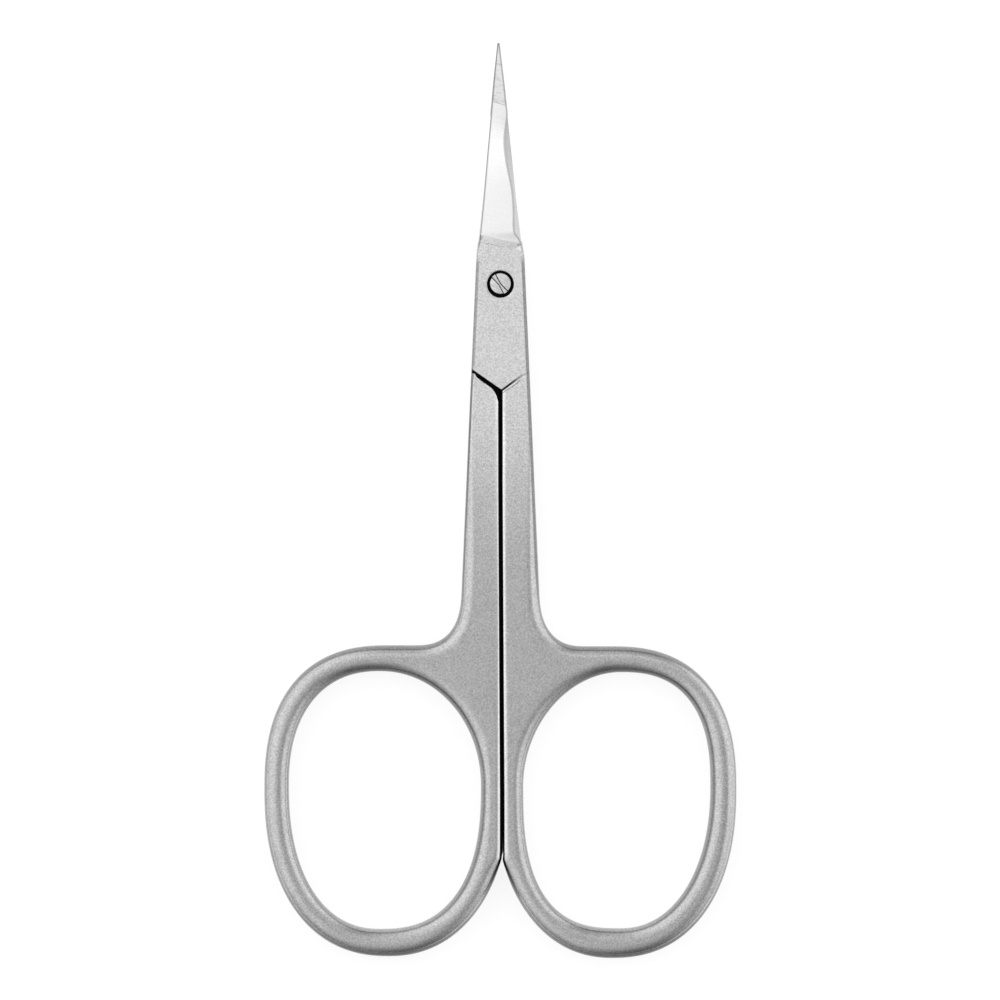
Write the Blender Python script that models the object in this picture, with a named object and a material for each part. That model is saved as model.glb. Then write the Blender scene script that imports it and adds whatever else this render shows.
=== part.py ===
"""Beauty scissors: two forged halves with finger rings and fine curved blades, on one pivot screw.

The scissors lie flat and closed. X runs to the right, Y towards the tips and Z up, out of the face
that carries the screw head. The origin is under the middle of the closed pair, on the rest plane.

Each half is worked out in its own hand frame before it is placed: u points out to the half's finger
ring, v towards the tips and w from the half's inner shank face (0) to its outer face. The pivot axis
is u = v = 0. The front half keeps that frame, the back half is the same forging turned half a turn
about the v axis, so the two cross in a half-lap joint.
"""

import math
from dataclasses import dataclass

import bmesh
import bpy
import numpy as np
from mathutils import Vector
from mathutils.geometry import delaunay_2d_cdt

MM = 0.001

# Whole pair
THICKNESS = 3.2 * MM
TIP_REACH = 24.05 * MM
SHANK_END = 30.8 * MM
PLATE_HALF_WIDTH = 2.525 * MM
SHANK_HALF_WIDTH = 3.89 * MM
HANDLE_GAP = 0.10 * MM
LAP_GAP = 0.06 * MM

# Finger holes, ground by hand, so each half has its own
HOLE_CENTRE_REACH = 50.14 * MM
FRONT_HOLE_INNER = 9.72 * MM
FRONT_HOLE_OUTER = 8.98 * MM
FRONT_HOLE_TOP = 11.36 * MM
FRONT_HOLE_BOTTOM = 14.24 * MM
FRONT_BAND_OUTER = 2.61 * MM
FRONT_BAND_BOTTOM = 2.98 * MM
BACK_HOLE_INNER = 10.04 * MM
BACK_HOLE_OUTER = 9.15 * MM
BACK_HOLE_TOP = 11.46 * MM
BACK_HOLE_BOTTOM = 14.30 * MM
BACK_BAND_OUTER = 2.46 * MM
BACK_BAND_BOTTOM = 2.74 * MM
PARTING_LEAN = 0.17 * MM
FRONT_HOLE_POWER_SHARES = (1.94, 2.52, 2.15, 2.74)
BACK_HOLE_POWER_SHARES = (2.02, 2.31, 2.26, 2.47)

# Finger rings, shared by both halves
BAND_INNER = 2.07 * MM
BAND_TOP = 2.60 * MM
RING_TOP_DROP = 5.40 * MM
RING_TOP_RUN = 4.40 * MM
OUTSIDE_SHIFT_U = 0.85 * MM
OUTSIDE_SHIFT_V = 0.35 * MM
OUTSIDE_OVERLAP = 0.85 * MM
RING_ROUNDING = 1.26 * MM
RING_CROWN = 1.50 * MM
RING_ROUNDING_SHARE = 0.47
PARTING_START_SHARE = 0.65
OUTSIDE_POWER_SHARES = (2.45, 2.29, 2.18)
SHOULDER_POWER_SHARE = 2.6

# Edge rounding of the shanks: width across the face, height down the side
SHANK_ROUNDING = 1.05 * MM
SHANK_CROWN = 1.30 * MM
PLATE_ROUNDING = 0.34 * MM
PLATE_CROWN = 0.40 * MM
GAP_ROUNDING = 0.13 * MM
GAP_CROWN = 0.30 * MM
BUTT_ROUNDING = 0.60 * MM
BUTT_CROWN = 1.20 * MM
BUTT_RUN_SHARE = 0.9

# Half-lap joint
PLATE_STEP = 0.20 * MM
STEP_RUN = 0.27 * MM
HEEL_REACH = 8.50 * MM
CROTCH_REACH = 10.56 * MM
CROTCH_OFFSET = 0.12 * MM
SLOT_FUNNEL = 1.34 * MM
SLOT_FLARE = 0.40 * MM
SHOULDER_CLEARANCE = 0.42 * MM
CORNER_RADIUS = 0.80 * MM

# Blades
BLADE_ROOT = 2.90 * MM
BLADE_ROOT_THICKNESS = 1.02 * MM
BLADE_TIP_THICKNESS = 0.30 * MM
EDGE_THICKNESS = 0.10 * MM
EDGE_ROUNDING = 0.03 * MM
SPINE_ROUNDING = 0.26 * MM
SPINE_CROWN = 0.36 * MM
SPINE_HOLLOW = 0.11 * MM
TIP_HALF_WIDTH = 0.12 * MM
TIP_SHARES = ((0.85, -0.9), (0.0, 0.0), (-0.85, -0.9))
TIP_LEAN = 0.19 * MM
PLUNGE_SETBACK = 0.92 * MM
PLUNGE_RUN = 0.66 * MM
PLUNGE_SLANT_SHARE = 0.22
PLUNGE_ROW_SHARES = (0.0, 0.12, 0.4, 1.0)
GRID_SHARES = (0.25, 0.75)
BEND_START = 4.0 * MM
TIP_RISE = 2.6 * MM

# The cutting edge: share of the way from blade root to tip, share of the plate's half width
EDGE_SHARES = (
    (0.010, 0.925), (0.079, 0.763), (0.107, 0.630), (0.127, 0.588), (0.204, 0.573),
    (0.262, 0.553), (0.309, 0.517), (0.356, 0.444), (0.451, 0.292), (0.545, 0.231),
    (0.613, 0.291), (0.652, 0.341), (0.735, 0.287), (0.829, 0.210), (0.924, 0.118),
)

# Pivot screw
SCREW_RADIUS = 0.72 * MM
SCREW_CLEARANCE = 0.03 * MM
HEAD_RADIUS = 1.04 * MM
HEAD_THICKNESS = 0.62 * MM
HEAD_SINK = 0.06 * MM
HEAD_CHAMFER = 0.08 * MM
HEAD_CLEARANCE = 0.30 * MM
SLOT_DEPTH = 0.28 * MM
SLOT_END_WIDTH = 0.46 * MM
SLOT_WAIST_WIDTH = 0.17 * MM
SLOT_FLARE_POWER = 1.5
SLOT_ANGLE = -54.0
TAIL_CHAMFER = 0.08 * MM
CUT_OVERRUN = 0.30 * MM

# Fineness of the meshes
ROUNDING_STEPS = 4
RING_POINTS = 17
CORNER_POINTS = 8
GAP_POINTS = 18
SHANK_POINTS = 7
BLADE_POINTS = 21
SIDE_POINTS = 4
HEEL_POINTS = 5
CIRCLE_POINTS = 32
SHARP_ANGLE = 30.0
MERGE_SHARE = 1e-7


@dataclass(frozen=True)
class Ring:
    """Hand-ground sizes that differ a little between the two finger rings."""

    hole_inner: float
    hole_outer: float
    hole_top: float
    hole_bottom: float
    band_outer: float
    band_bottom: float
    parting_lean: float
    power_shares: tuple


FRONT_RING = Ring(FRONT_HOLE_INNER, FRONT_HOLE_OUTER, FRONT_HOLE_TOP, FRONT_HOLE_BOTTOM,
                  FRONT_BAND_OUTER, FRONT_BAND_BOTTOM, PARTING_LEAN, FRONT_HOLE_POWER_SHARES)
BACK_RING = Ring(BACK_HOLE_INNER, BACK_HOLE_OUTER, BACK_HOLE_TOP, BACK_HOLE_BOTTOM,
                 BACK_BAND_OUTER, BACK_BAND_BOTTOM, -PARTING_LEAN, BACK_HOLE_POWER_SHARES)


def lerp(start, end, share):
    """A straight mix of two values."""
    return start + (end - start) * share


def smooth(share):
    """An even S-curve from 0 to 1."""
    share = np.clip(share, 0.0, 1.0)
    return share * share * (3.0 - 2.0 * share)


def quarter(centre, reach_u, reach_v, power, count, from_v_axis):
    """Points of one quadrant of a super-ellipse, without its last point."""
    turn = np.linspace(0.0, math.pi / 2, count, endpoint=False)
    if from_v_axis:
        turn = math.pi / 2 - turn
    u = centre[0] + reach_u * np.cos(turn) ** (2.0 / power)
    v = centre[1] + reach_v * np.sin(turn) ** (2.0 / power)
    return np.column_stack((u, v))


def outer_side(v):
    """Half width of the joint plate and shank at v."""
    slope = (SHANK_HALF_WIDTH - PLATE_HALF_WIDTH) / SHANK_END
    return PLATE_HALF_WIDTH - slope * v


def parting(v, ring):
    """Where the half's inner side lies at v: half the handle gap, with the ring's small lean."""
    lean = np.clip(-v / SHANK_END - PARTING_START_SHARE, 0.0, 1.0)
    return HANDLE_GAP / 2 + ring.parting_lean * lean


def hole_centre(ring):
    """Centre of the finger hole."""
    v = -HOLE_CENTRE_REACH
    return parting(v, ring) + BAND_INNER + ring.hole_inner, v


def hole_outline(ring):
    """The finger hole, clockwise."""
    centre = hole_centre(ring)
    inner, outer = ring.hole_inner, ring.hole_outer
    top, bottom = ring.hole_top, ring.hole_bottom
    power = ring.power_shares
    return np.vstack((
        quarter(centre, -inner, top, power[0], RING_POINTS, False),
        quarter(centre, outer, top, power[1], RING_POINTS, True),
        quarter(centre, outer, -bottom, power[2], RING_POINTS, False),
        quarter(centre, -inner, -bottom, power[3], RING_POINTS, True),
    ))


def ring_outside(ring):
    """Centre and reaches of the ring's outside: out, top, bottom, and in towards the gap."""
    hole_u, hole_v = hole_centre(ring)
    centre_u = hole_u - OUTSIDE_SHIFT_U
    centre_v = hole_v - OUTSIDE_SHIFT_V
    out = hole_u + ring.hole_outer + ring.band_outer - centre_u
    top = hole_v + ring.hole_top + BAND_TOP - centre_v
    bottom = centre_v - (hole_v - ring.hole_bottom - ring.band_bottom)
    inward = centre_u - parting(centre_v, ring) + OUTSIDE_OVERLAP
    return centre_u, centre_v, out, top, bottom, inward


def ring_outline(ring):
    """The half's outline from the parting line, round the ring and up to the end of the shank."""
    centre_u, centre_v, out, top, bottom, inward = ring_outside(ring)
    centre = (centre_u, centre_v)
    power = OUTSIDE_POWER_SHARES
    low_inner = quarter(centre, -inward, -bottom, power[2], 2 * RING_POINTS, False)
    low_inner = low_inner[low_inner[:, 0] > parting(low_inner[:, 1], ring)]
    low_outer = quarter(centre, out, -bottom, power[1], RING_POINTS, True)
    high_outer = quarter(centre, out, top, power[0], RING_POINTS, False)
    ring_top = centre_v + top
    corner_v = ring_top + RING_TOP_DROP
    corner_u = outer_side(corner_v) + RING_TOP_RUN
    corner = quarter((corner_u, corner_v), -RING_TOP_RUN, -RING_TOP_DROP,
                     SHOULDER_POWER_SHARE, CORNER_POINTS, True)
    corner[:, 0] += outer_side(corner[:, 1]) - outer_side(corner_v)
    flat = np.array(((centre_u, ring_top),))
    return np.vstack((low_inner, low_outer, high_outer, flat, corner))


def blade_axis(v, lean):
    """Middle line of the blade, which leans a little to one side."""
    return lean * v / TIP_REACH


def spine_u(v, lean):
    """Back of the blade at v: straight to the tip but for a slight hollow."""
    share = np.clip((v - BLADE_ROOT) / (TIP_REACH - BLADE_ROOT), 0.0, 1.0)
    hollow = SPINE_HOLLOW * 27 / 4 * share * (1.0 - share) ** 2
    return blade_axis(v, lean) + hollow - lerp(outer_side(BLADE_ROOT), TIP_HALF_WIDTH, share)


def edge_u(v, lean):
    """Cutting edge of the blade at v, smooth through its hand-chosen shares."""
    along = np.array([share[0] for share in EDGE_SHARES] + [1.0])
    along = lerp(BLADE_ROOT, TIP_REACH, along)
    out = np.array([share[1] for share in EDGE_SHARES]) * PLATE_HALF_WIDTH
    out = np.append(out, TIP_HALF_WIDTH)
    slope = np.gradient(out, along)
    place = np.clip(np.searchsorted(along, v) - 1, 0, len(along) - 2)
    run = along[place + 1] - along[place]
    t = np.clip((v - along[place]) / run, 0.0, 1.0)
    curve = ((2 * t ** 3 - 3 * t ** 2 + 1) * out[place]
             + (t ** 3 - 2 * t ** 2 + t) * run * slope[place]
             + (3 * t ** 2 - 2 * t ** 3) * out[place + 1]
             + (t ** 3 - t ** 2) * run * slope[place + 1])
    return blade_axis(v, lean) + curve


def plunge_line(u):
    """Where the plate's face ends and the grinding of the blade begins."""
    return BLADE_ROOT + PLUNGE_SETBACK - PLUNGE_SLANT_SHARE * u


def step_distance(u, v):
    """Distance past the step between the joint plate and the shank, along the shank."""
    across = np.array((outer_side(-HEEL_REACH) - CROTCH_OFFSET, CROTCH_REACH - HEEL_REACH))
    across /= np.hypot(*across)
    return (u - CROTCH_OFFSET) * across[1] - (v + CROTCH_REACH) * across[0]


def lap_level():
    """Height of a half's lap face."""
    return (THICKNESS + LAP_GAP) / 2


def face_height(u, v, lean):
    """Height of a half's outer face over the plan: shank, joint plate, plunge and ground blade."""
    plate = THICKNESS - PLATE_STEP
    shank_share = np.clip(step_distance(u, v) / STEP_RUN, 0.0, 1.0)
    flat = lerp(plate, THICKNESS, shank_share)
    along = np.clip((v - BLADE_ROOT) / (TIP_REACH - BLADE_ROOT), 0.0, 1.0)
    up = np.clip(v, BLADE_ROOT, TIP_REACH)
    spine, edge = spine_u(up, lean), edge_u(up, lean)
    across = np.clip((edge - u) / (edge - spine), 0.0, 1.0)
    thick = lerp(BLADE_ROOT_THICKNESS, BLADE_TIP_THICKNESS, along)
    blade = lap_level() + lerp(EDGE_THICKNESS, thick, across)
    run = np.clip((v - plunge_line(u)) / PLUNGE_RUN, 0.0, 1.0)
    fall = 1.0 - np.sqrt(1.0 - (1.0 - run) ** 2)
    return np.where(v > plunge_line(u), lerp(blade, plate, fall), flat)


def plate_heel():
    """Far corner of the joint plate, beside the other half's shank."""
    return np.array((-outer_side(-HEEL_REACH), -HEEL_REACH))


def plate_crotch():
    """Near end of the joint plate, between the two shanks."""
    return np.array((CROTCH_OFFSET, -CROTCH_REACH))


def slot_end():
    """Where the funnel between the plate and the shanks has narrowed to the handle gap."""
    return -CROTCH_REACH - SLOT_FUNNEL


def shoulder_v():
    """Where the shoulder under the other half's plate leaves the shank's outer side."""
    return -HEEL_REACH - SHOULDER_CLEARANCE


def lower_shoulder():
    """Inner points of the shoulder that the other half's plate turns past, from shank to gap."""
    heel, crotch = plate_heel() * (-1.0, 1.0), plate_crotch() * (-1.0, 1.0)
    along = (crotch - heel) / np.hypot(*(crotch - heel))
    away = np.array((-along[1], along[0])) * SHOULDER_CLEARANCE
    first_u = outer_side(shoulder_v()) - PLATE_ROUNDING - CORNER_RADIUS / 2
    first = heel + away
    first += along * (first_u - first[0]) / along[0]
    corner = crotch + away - along * CORNER_RADIUS
    end = np.array(((HANDLE_GAP + SLOT_FLARE) / 2, slot_end() + SLOT_FLARE))
    middle = (corner + end) / 2 + away / 4
    return np.vstack((first, corner, middle, end))


def plate_outline(lean):
    """The half's outline from the shank's shoulder, over the blade and back to the gap."""
    side_v = np.linspace(-HEEL_REACH, BLADE_ROOT, SIDE_POINTS)
    side = np.column_stack((outer_side(side_v), side_v))
    start = lerp(BLADE_ROOT, TIP_REACH, EDGE_SHARES[0][0])
    edge_v = np.linspace(start, TIP_REACH, BLADE_POINTS)[:-1]
    edge = np.column_stack((edge_u(edge_v, lean), edge_v))
    tip = np.array(TIP_SHARES) * TIP_HALF_WIDTH + (blade_axis(TIP_REACH, lean), TIP_REACH)
    back_v = np.linspace(TIP_REACH, BLADE_ROOT, BLADE_POINTS)[1:]
    back = np.column_stack((spine_u(back_v, lean), back_v))
    left_v = np.array((0.0, -HEEL_REACH / 2, -HEEL_REACH + CORNER_RADIUS / 8))
    left = np.column_stack((-outer_side(left_v), left_v))
    share = np.linspace(0.0, 1.0, HEEL_POINTS)[:, None]
    heel = plate_heel() + (CORNER_RADIUS / 4, -CORNER_RADIUS / 8)
    diagonal = heel + (plate_crotch() - heel) * share
    return np.vstack((side, edge, tip, back, left, diagonal))


def inward_normals(points):
    """Unit normals on the left of travel, which point into the material."""
    before = points - np.roll(points, 1, axis=0)
    after = np.roll(points, -1, axis=0) - points
    before /= np.hypot(before[:, 0], before[:, 1])[:, None]
    after /= np.hypot(after[:, 0], after[:, 1])[:, None]
    along = before + after
    along /= np.hypot(along[:, 0], along[:, 1])[:, None]
    return np.column_stack((-along[:, 1], along[:, 0]))


def nearest(points, ring):
    """Distance from each point to the nearest side of a closed outline."""
    start = ring[None, :, :]
    side = np.roll(ring, -1, axis=0)[None, :, :] - start
    toward = points[:, None, :] - start
    share = (toward * side).sum(axis=2) / (side * side).sum(axis=2)
    gap = toward - side * np.clip(share, 0.0, 1.0)[..., None]
    return np.hypot(gap[..., 0], gap[..., 1]).min(axis=1)


class Shell:
    """Points and faces of one closed body, gathered row by row."""

    def __init__(self):
        self.points = []
        self.faces = []

    def row(self, plan, height):
        """Add a row of points and return their numbers."""
        first = len(self.points)
        height = np.broadcast_to(height, len(plan))
        self.points += [(u, v, w) for (u, v), w in zip(plan, height)]
        return list(range(first, len(self.points)))

    def strip(self, low, high, closed=True):
        """Join a lower and an upper row with quads that face right of travel."""
        count = len(low)
        for i in range(count if closed else count - 1):
            j = (i + 1) % count
            self.faces.append((low[i], low[j], high[j], high[i]))

    def fill(self, loops, inside, lines, facing_up):
        """Cover the first closed loop but not the others, through inner points and break lines."""
        numbers = [n for loop in loops for n in loop] + inside
        place = {n: i for i, n in enumerate(numbers)}
        flat = [Vector(self.points[n][:2]) / MM for n in numbers]
        edges = [(place[a], place[b]) for loop in loops
                 for a, b in zip(loop, loop[1:] + loop[:1])]
        edges += [(place[a], place[b]) for line in lines for a, b in zip(line, line[1:])]
        _, _, triangles, came_from, _, _ = delaunay_2d_cdt(flat, edges, [], 1, MERGE_SHARE)
        holes = [np.array([flat[place[n]] for n in loop]) for loop in loops[1:]]
        for triangle in triangles:
            corners = [came_from[i][0] for i in triangle]
            a, b, c = (flat[i] for i in corners)
            middle = (a + b + c) / 3
            if any(winds_round(middle, hole) for hole in holes):
                continue
            left = (b - a).cross(c - a) > 0
            if left != facing_up:
                corners.reverse()
            self.faces.append(tuple(numbers[i] for i in corners))


def winds_round(point, ring):
    """Whether a closed ring of points crosses the ray to the right of a point an odd number of times."""
    ahead = np.roll(ring, -1, axis=0)
    spans = (ring[:, 1] > point.y) != (ahead[:, 1] > point.y)
    rise = np.where(spans, ahead[:, 1] - ring[:, 1], 1.0)
    cross = ring[:, 0] + (point.y - ring[:, 1]) / rise * (ahead[:, 0] - ring[:, 0])
    return int(np.count_nonzero(spans & (cross > point.x))) % 2


def rounding_sizes(outline, hole, ring_start, shank_end, plate_end, blade_span):
    """Rounding width and crown height at each outline point, on the outer face."""
    count = len(outline)
    v = outline[:, 1]
    width = np.empty(count)
    crown = np.empty(count)
    down = smooth((slot_end() - v) / (slot_end() + SHANK_END))
    butt = smooth((-v - SHANK_END) / (SHANK_END * BUTT_RUN_SHARE))
    gap = slice(0, ring_start)
    width[gap] = lerp(GAP_ROUNDING, BUTT_ROUNDING, butt[gap])
    width[gap] = np.minimum(width[gap], RING_ROUNDING_SHARE * nearest(outline[gap], hole))
    crown[gap] = lerp(GAP_CROWN, BUTT_CROWN, butt[gap])
    ring = slice(ring_start, shank_end)
    width[ring] = RING_ROUNDING_SHARE * nearest(outline[ring], hole)
    width[ring] = np.minimum(width[ring], RING_ROUNDING)
    crown[ring] = RING_CROWN
    shank = slice(shank_end, plate_end)
    width[shank] = lerp(PLATE_ROUNDING, SHANK_ROUNDING, down[shank])
    crown[shank] = lerp(PLATE_CROWN, SHANK_CROWN, down[shank])
    plate = slice(plate_end, count)
    width[plate] = PLATE_ROUNDING
    crown[plate] = PLATE_CROWN
    edge, spine = blade_span
    width[edge] = EDGE_ROUNDING
    crown[edge] = EDGE_ROUNDING
    fine = np.clip((TIP_REACH - v[spine]) / TIP_REACH, 0.0, 1.0)
    width[spine] = lerp(EDGE_ROUNDING, SPINE_ROUNDING, np.sqrt(fine))
    crown[spine] = lerp(BLADE_TIP_THICKNESS / 2, SPINE_CROWN, np.sqrt(fine))
    heel = slice(count - HEEL_POINTS, count)
    width[heel] = EDGE_ROUNDING
    crown[heel] = EDGE_ROUNDING
    return width, crown


def rounded_rows(shell, plan, normal, width, crown, height_at, up):
    """Rows of points that round an edge: from the side wall in to the face."""
    rows = []
    for step in range(ROUNDING_STEPS + 1):
        turn = math.pi / 2 * step / ROUNDING_STEPS
        place = plan + normal * (width * (1.0 - math.cos(turn)))[:, None]
        fall = crown * (1.0 - math.sin(turn))
        level = height_at(place[:, 0], place[:, 1])
        rows.append(shell.row(place, level - fall if up else level + fall))
    return rows


def blade_grid(lean):
    """Inner points of the blade's faces, a few across at each station, clear of its edges."""
    stations = np.linspace(plunge_line(0.0) + PLUNGE_RUN * 2, TIP_REACH, BLADE_POINTS)[:-2]
    low = spine_u(stations, lean) + SPINE_ROUNDING
    high = edge_u(stations, lean) - EDGE_ROUNDING
    room = high - low > SPINE_ROUNDING
    stations, low, high = stations[room], low[room], high[room]
    return np.vstack([np.column_stack((lerp(low, high, share), stations)) for share in GRID_SHARES])


def plunge_grid(lean):
    """Points along the plunge between the plate's face and the ground blade."""
    low = spine_u(plunge_line(-PLATE_HALF_WIDTH) + PLUNGE_RUN, lean) + SPINE_ROUNDING + EDGE_ROUNDING
    high = edge_u(plunge_line(0.0) + PLUNGE_RUN, lean) - PLATE_ROUNDING
    u = np.linspace(low, high, HEEL_POINTS)
    return [np.column_stack((u, plunge_line(u) + PLUNGE_RUN * share)) for share in PLUNGE_ROW_SHARES]


def build_half(ring, lean, counterbored):
    """One forging in its hand frame: finger ring, shank, joint plate and blade."""
    ring_side = ring_outline(ring)
    gap_v = np.linspace(slot_end(), ring_side[0, 1], GAP_POINTS)[:-1]
    gap_side = np.column_stack((parting(gap_v, ring), gap_v))
    shank_v = np.linspace(-SHANK_END, shoulder_v(), SHANK_POINTS)
    shank_v = shank_v[shank_v > ring_side[-1, 1]]
    shank_side = np.column_stack((outer_side(shank_v), shank_v))
    plate_side = plate_outline(lean)
    outline = np.vstack((gap_side, ring_side, shank_side, plate_side))
    ring_start = len(gap_side)
    shank_end = ring_start + len(ring_side)
    plate_start = shank_end + len(shank_side)
    first_edge = plate_start + SIDE_POINTS
    first_spine = first_edge + BLADE_POINTS - 1
    last_spine = first_spine + len(TIP_SHARES) + BLADE_POINTS - 1
    blade_span = (slice(first_edge, first_spine), slice(first_spine, last_spine))
    hole = hole_outline(ring)
    width, crown = rounding_sizes(outline, hole, ring_start, shank_end, plate_start, blade_span)
    normal = inward_normals(outline)
    hole_normal = inward_normals(hole)
    hole_width = RING_ROUNDING_SHARE * nearest(hole, outline)
    hole_width = np.minimum(hole_width, RING_ROUNDING)
    hole_crown = np.full(len(hole), RING_CROWN)

    def outer_face(u, v):
        return face_height(u, v, lean)

    def inner_face(u, v):
        return np.zeros(len(u))

    shell = Shell()
    last = plate_start - 1
    handle = slice(plate_start)
    top = rounded_rows(shell, outline, normal, width, crown, outer_face, True)
    lap = shell.row(outline, lap_level())
    low = rounded_rows(shell, outline[handle], normal[handle], width[handle], crown[handle],
                       inner_face, False)
    hole_top = rounded_rows(shell, hole, hole_normal, hole_width, hole_crown, outer_face, True)
    hole_low = rounded_rows(shell, hole, hole_normal, hole_width, hole_crown, inner_face, False)

    for lower, upper in zip(top, top[1:]):
        shell.strip(lower, upper)
    shell.strip(lap, top[0])
    shell.strip(low[0], lap[:plate_start], closed=False)
    for upper, lower in zip(low, low[1:]):
        shell.strip(lower, upper, closed=False)
    for lower, upper in zip(hole_top, hole_top[1:]):
        shell.strip(lower, upper)
    shell.strip(hole_low[0], hole_top[0])
    for upper, lower in zip(hole_low, hole_low[1:]):
        shell.strip(lower, upper)

    shoulder = lower_shoulder()
    shoulder_high = shell.row(shoulder, lap_level())
    shoulder_low = shell.row(shoulder, 0.0)
    plan = np.array(shell.points)[:, :2]
    start_high = shell.row(plan[[row[last] for row in low[1:]]], lap_level())
    end_high = shell.row(plan[[row[0] for row in low[1:]]], lap_level())
    wall_high = [lap[last]] + start_high + shoulder_high + end_high[::-1] + [lap[0]]
    wall_low = ([row[last] for row in low] + shoulder_low + [row[0] for row in low[::-1]])
    shell.strip(wall_low, wall_high, closed=False)

    turn = -np.arange(CIRCLE_POINTS) * 2 * math.pi / CIRCLE_POINTS
    circle = np.column_stack((np.cos(turn), np.sin(turn)))
    bore_radius = SCREW_RADIUS + SCREW_CLEARANCE
    plate = THICKNESS - PLATE_STEP
    bore_lap = shell.row(circle * bore_radius, lap_level())
    if counterbored:
        floor = plate - HEAD_SINK - HEAD_THICKNESS - SCREW_CLEARANCE
        mouth = shell.row(circle * (HEAD_RADIUS + HEAD_CLEARANCE), plate)
        floor_edge = shell.row(circle * (HEAD_RADIUS + HEAD_CLEARANCE), floor)
        bore_top = shell.row(circle * bore_radius, floor)
        shell.strip(floor_edge, mouth)
        shell.strip(bore_top, floor_edge)
        shell.strip(bore_lap, bore_top)
    else:
        mouth = shell.row(circle * bore_radius, plate)
        shell.strip(bore_lap, mouth)

    lines = []
    inside = []
    for plunge in plunge_grid(lean):
        numbers = shell.row(plunge, outer_face(plunge[:, 0], plunge[:, 1]))
        lines.append(numbers)
        inside += numbers
    grid = blade_grid(lean)
    inside += shell.row(grid, outer_face(grid[:, 0], grid[:, 1]))
    step = step_points()
    for line in step:
        numbers = shell.row(line, outer_face(line[:, 0], line[:, 1]))
        lines.append(numbers)
        inside += numbers
    shell.fill([top[-1], hole_top[-1], mouth], inside, lines, True)
    lap_inside = shell.row(grid, lap_level())
    lap_loop = lap[last:] + [lap[0]] + end_high + shoulder_high[::-1] + start_high[::-1]
    shell.fill([lap_loop, bore_lap], lap_inside, [], False)
    low_loop = low[-1] + shoulder_low
    shell.fill([low_loop, hole_low[-1]], [], [], False)
    return shell


def step_points():
    """The two break lines of the step between the joint plate and the shank."""
    start = plate_crotch()
    end = np.array((outer_side(-HEEL_REACH), -HEEL_REACH))
    along = (end - start) / np.hypot(*(end - start))
    past = np.array((along[1], -along[0])) * STEP_RUN
    start = start + along * (EDGE_ROUNDING + GAP_ROUNDING) * 2
    end = end - along * (PLATE_ROUNDING + STEP_RUN) / along[0]
    low = start + (end - start) * np.linspace(0.0, 1.0, HEEL_POINTS)[:, None]
    return low, low + past


def bend(x, y):
    """Rise of the curved blades at a place in plan, the same on any radius from the pivot."""
    radius = np.hypot(x, y)
    share = np.clip((radius - BEND_START) / (TIP_REACH - BEND_START), 0.0, None)
    return np.where(y > 0.0, TIP_RISE * share ** 2, 0.0)


def pivot_y():
    """Pivot's place along the closed pair, which is centred on the origin."""
    reach = max(ring.hole_bottom + ring.band_bottom for ring in (FRONT_RING, BACK_RING))
    return (HOLE_CENTRE_REACH + reach - TIP_REACH) / 2


def add_object(name, mesh, material, parent):
    """Link a named object with its material under a parent."""
    mesh.materials.append(material)
    mesh.shade_smooth()
    mesh.set_sharp_from_angle(angle=math.radians(SHARP_ANGLE))
    piece = bpy.data.objects.new(name, mesh)
    bpy.context.collection.objects.link(piece)
    piece.parent = parent
    return piece


def half_mesh(name, shell, turned):
    """Mesh of a half in the pivot's frame, with its blade bent up."""
    points = np.array(shell.points)
    if turned:
        points[:, 0] *= -1.0
        points[:, 2] = THICKNESS - points[:, 2]
    points[:, 2] += bend(points[:, 0], points[:, 1])
    mesh = bpy.data.meshes.new(name)
    mesh.from_pydata(points.tolist(), [], shell.faces)
    mesh.update()
    return mesh


def make_material(name, colour, roughness, metallic):
    """A plain metal finish."""
    material = bpy.data.materials.new(name)
    material.use_nodes = True
    shader = material.node_tree.nodes["Principled BSDF"]
    shader.inputs["Base Color"].default_value = (*colour, 1.0)
    shader.inputs["Roughness"].default_value = roughness
    shader.inputs["Metallic"].default_value = metallic
    return material


def screw_mesh():
    """The turned screw: head, shank and staked tail, from its lowest point up."""
    plate = THICKNESS - PLATE_STEP
    head_top = plate - HEAD_SINK
    head_bottom = head_top - HEAD_THICKNESS
    tail = PLATE_STEP + SCREW_CLEARANCE
    profile = (
        (0.0, tail),
        (SCREW_RADIUS - TAIL_CHAMFER, tail),
        (SCREW_RADIUS, tail + TAIL_CHAMFER),
        (SCREW_RADIUS, head_bottom),
        (HEAD_RADIUS, head_bottom),
        (HEAD_RADIUS, head_top - HEAD_CHAMFER),
        (HEAD_RADIUS - HEAD_CHAMFER, head_top),
        (0.0, head_top),
    )
    shape = bmesh.new()
    points = [shape.verts.new((radius, 0.0, height)) for radius, height in profile]
    edges = [shape.edges.new(pair) for pair in zip(points, points[1:])]
    bmesh.ops.spin(shape, geom=points + edges, cent=(0.0, 0.0, 0.0), axis=(0.0, 0.0, 1.0),
                   angle=2 * math.pi, steps=CIRCLE_POINTS, use_merge=True)
    bmesh.ops.remove_doubles(shape, verts=shape.verts, dist=SCREW_CLEARANCE / 100)
    bmesh.ops.recalc_face_normals(shape, faces=shape.faces)
    mesh = bpy.data.meshes.new("pivot_screw")
    shape.to_mesh(mesh)
    shape.free()
    return mesh


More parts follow.
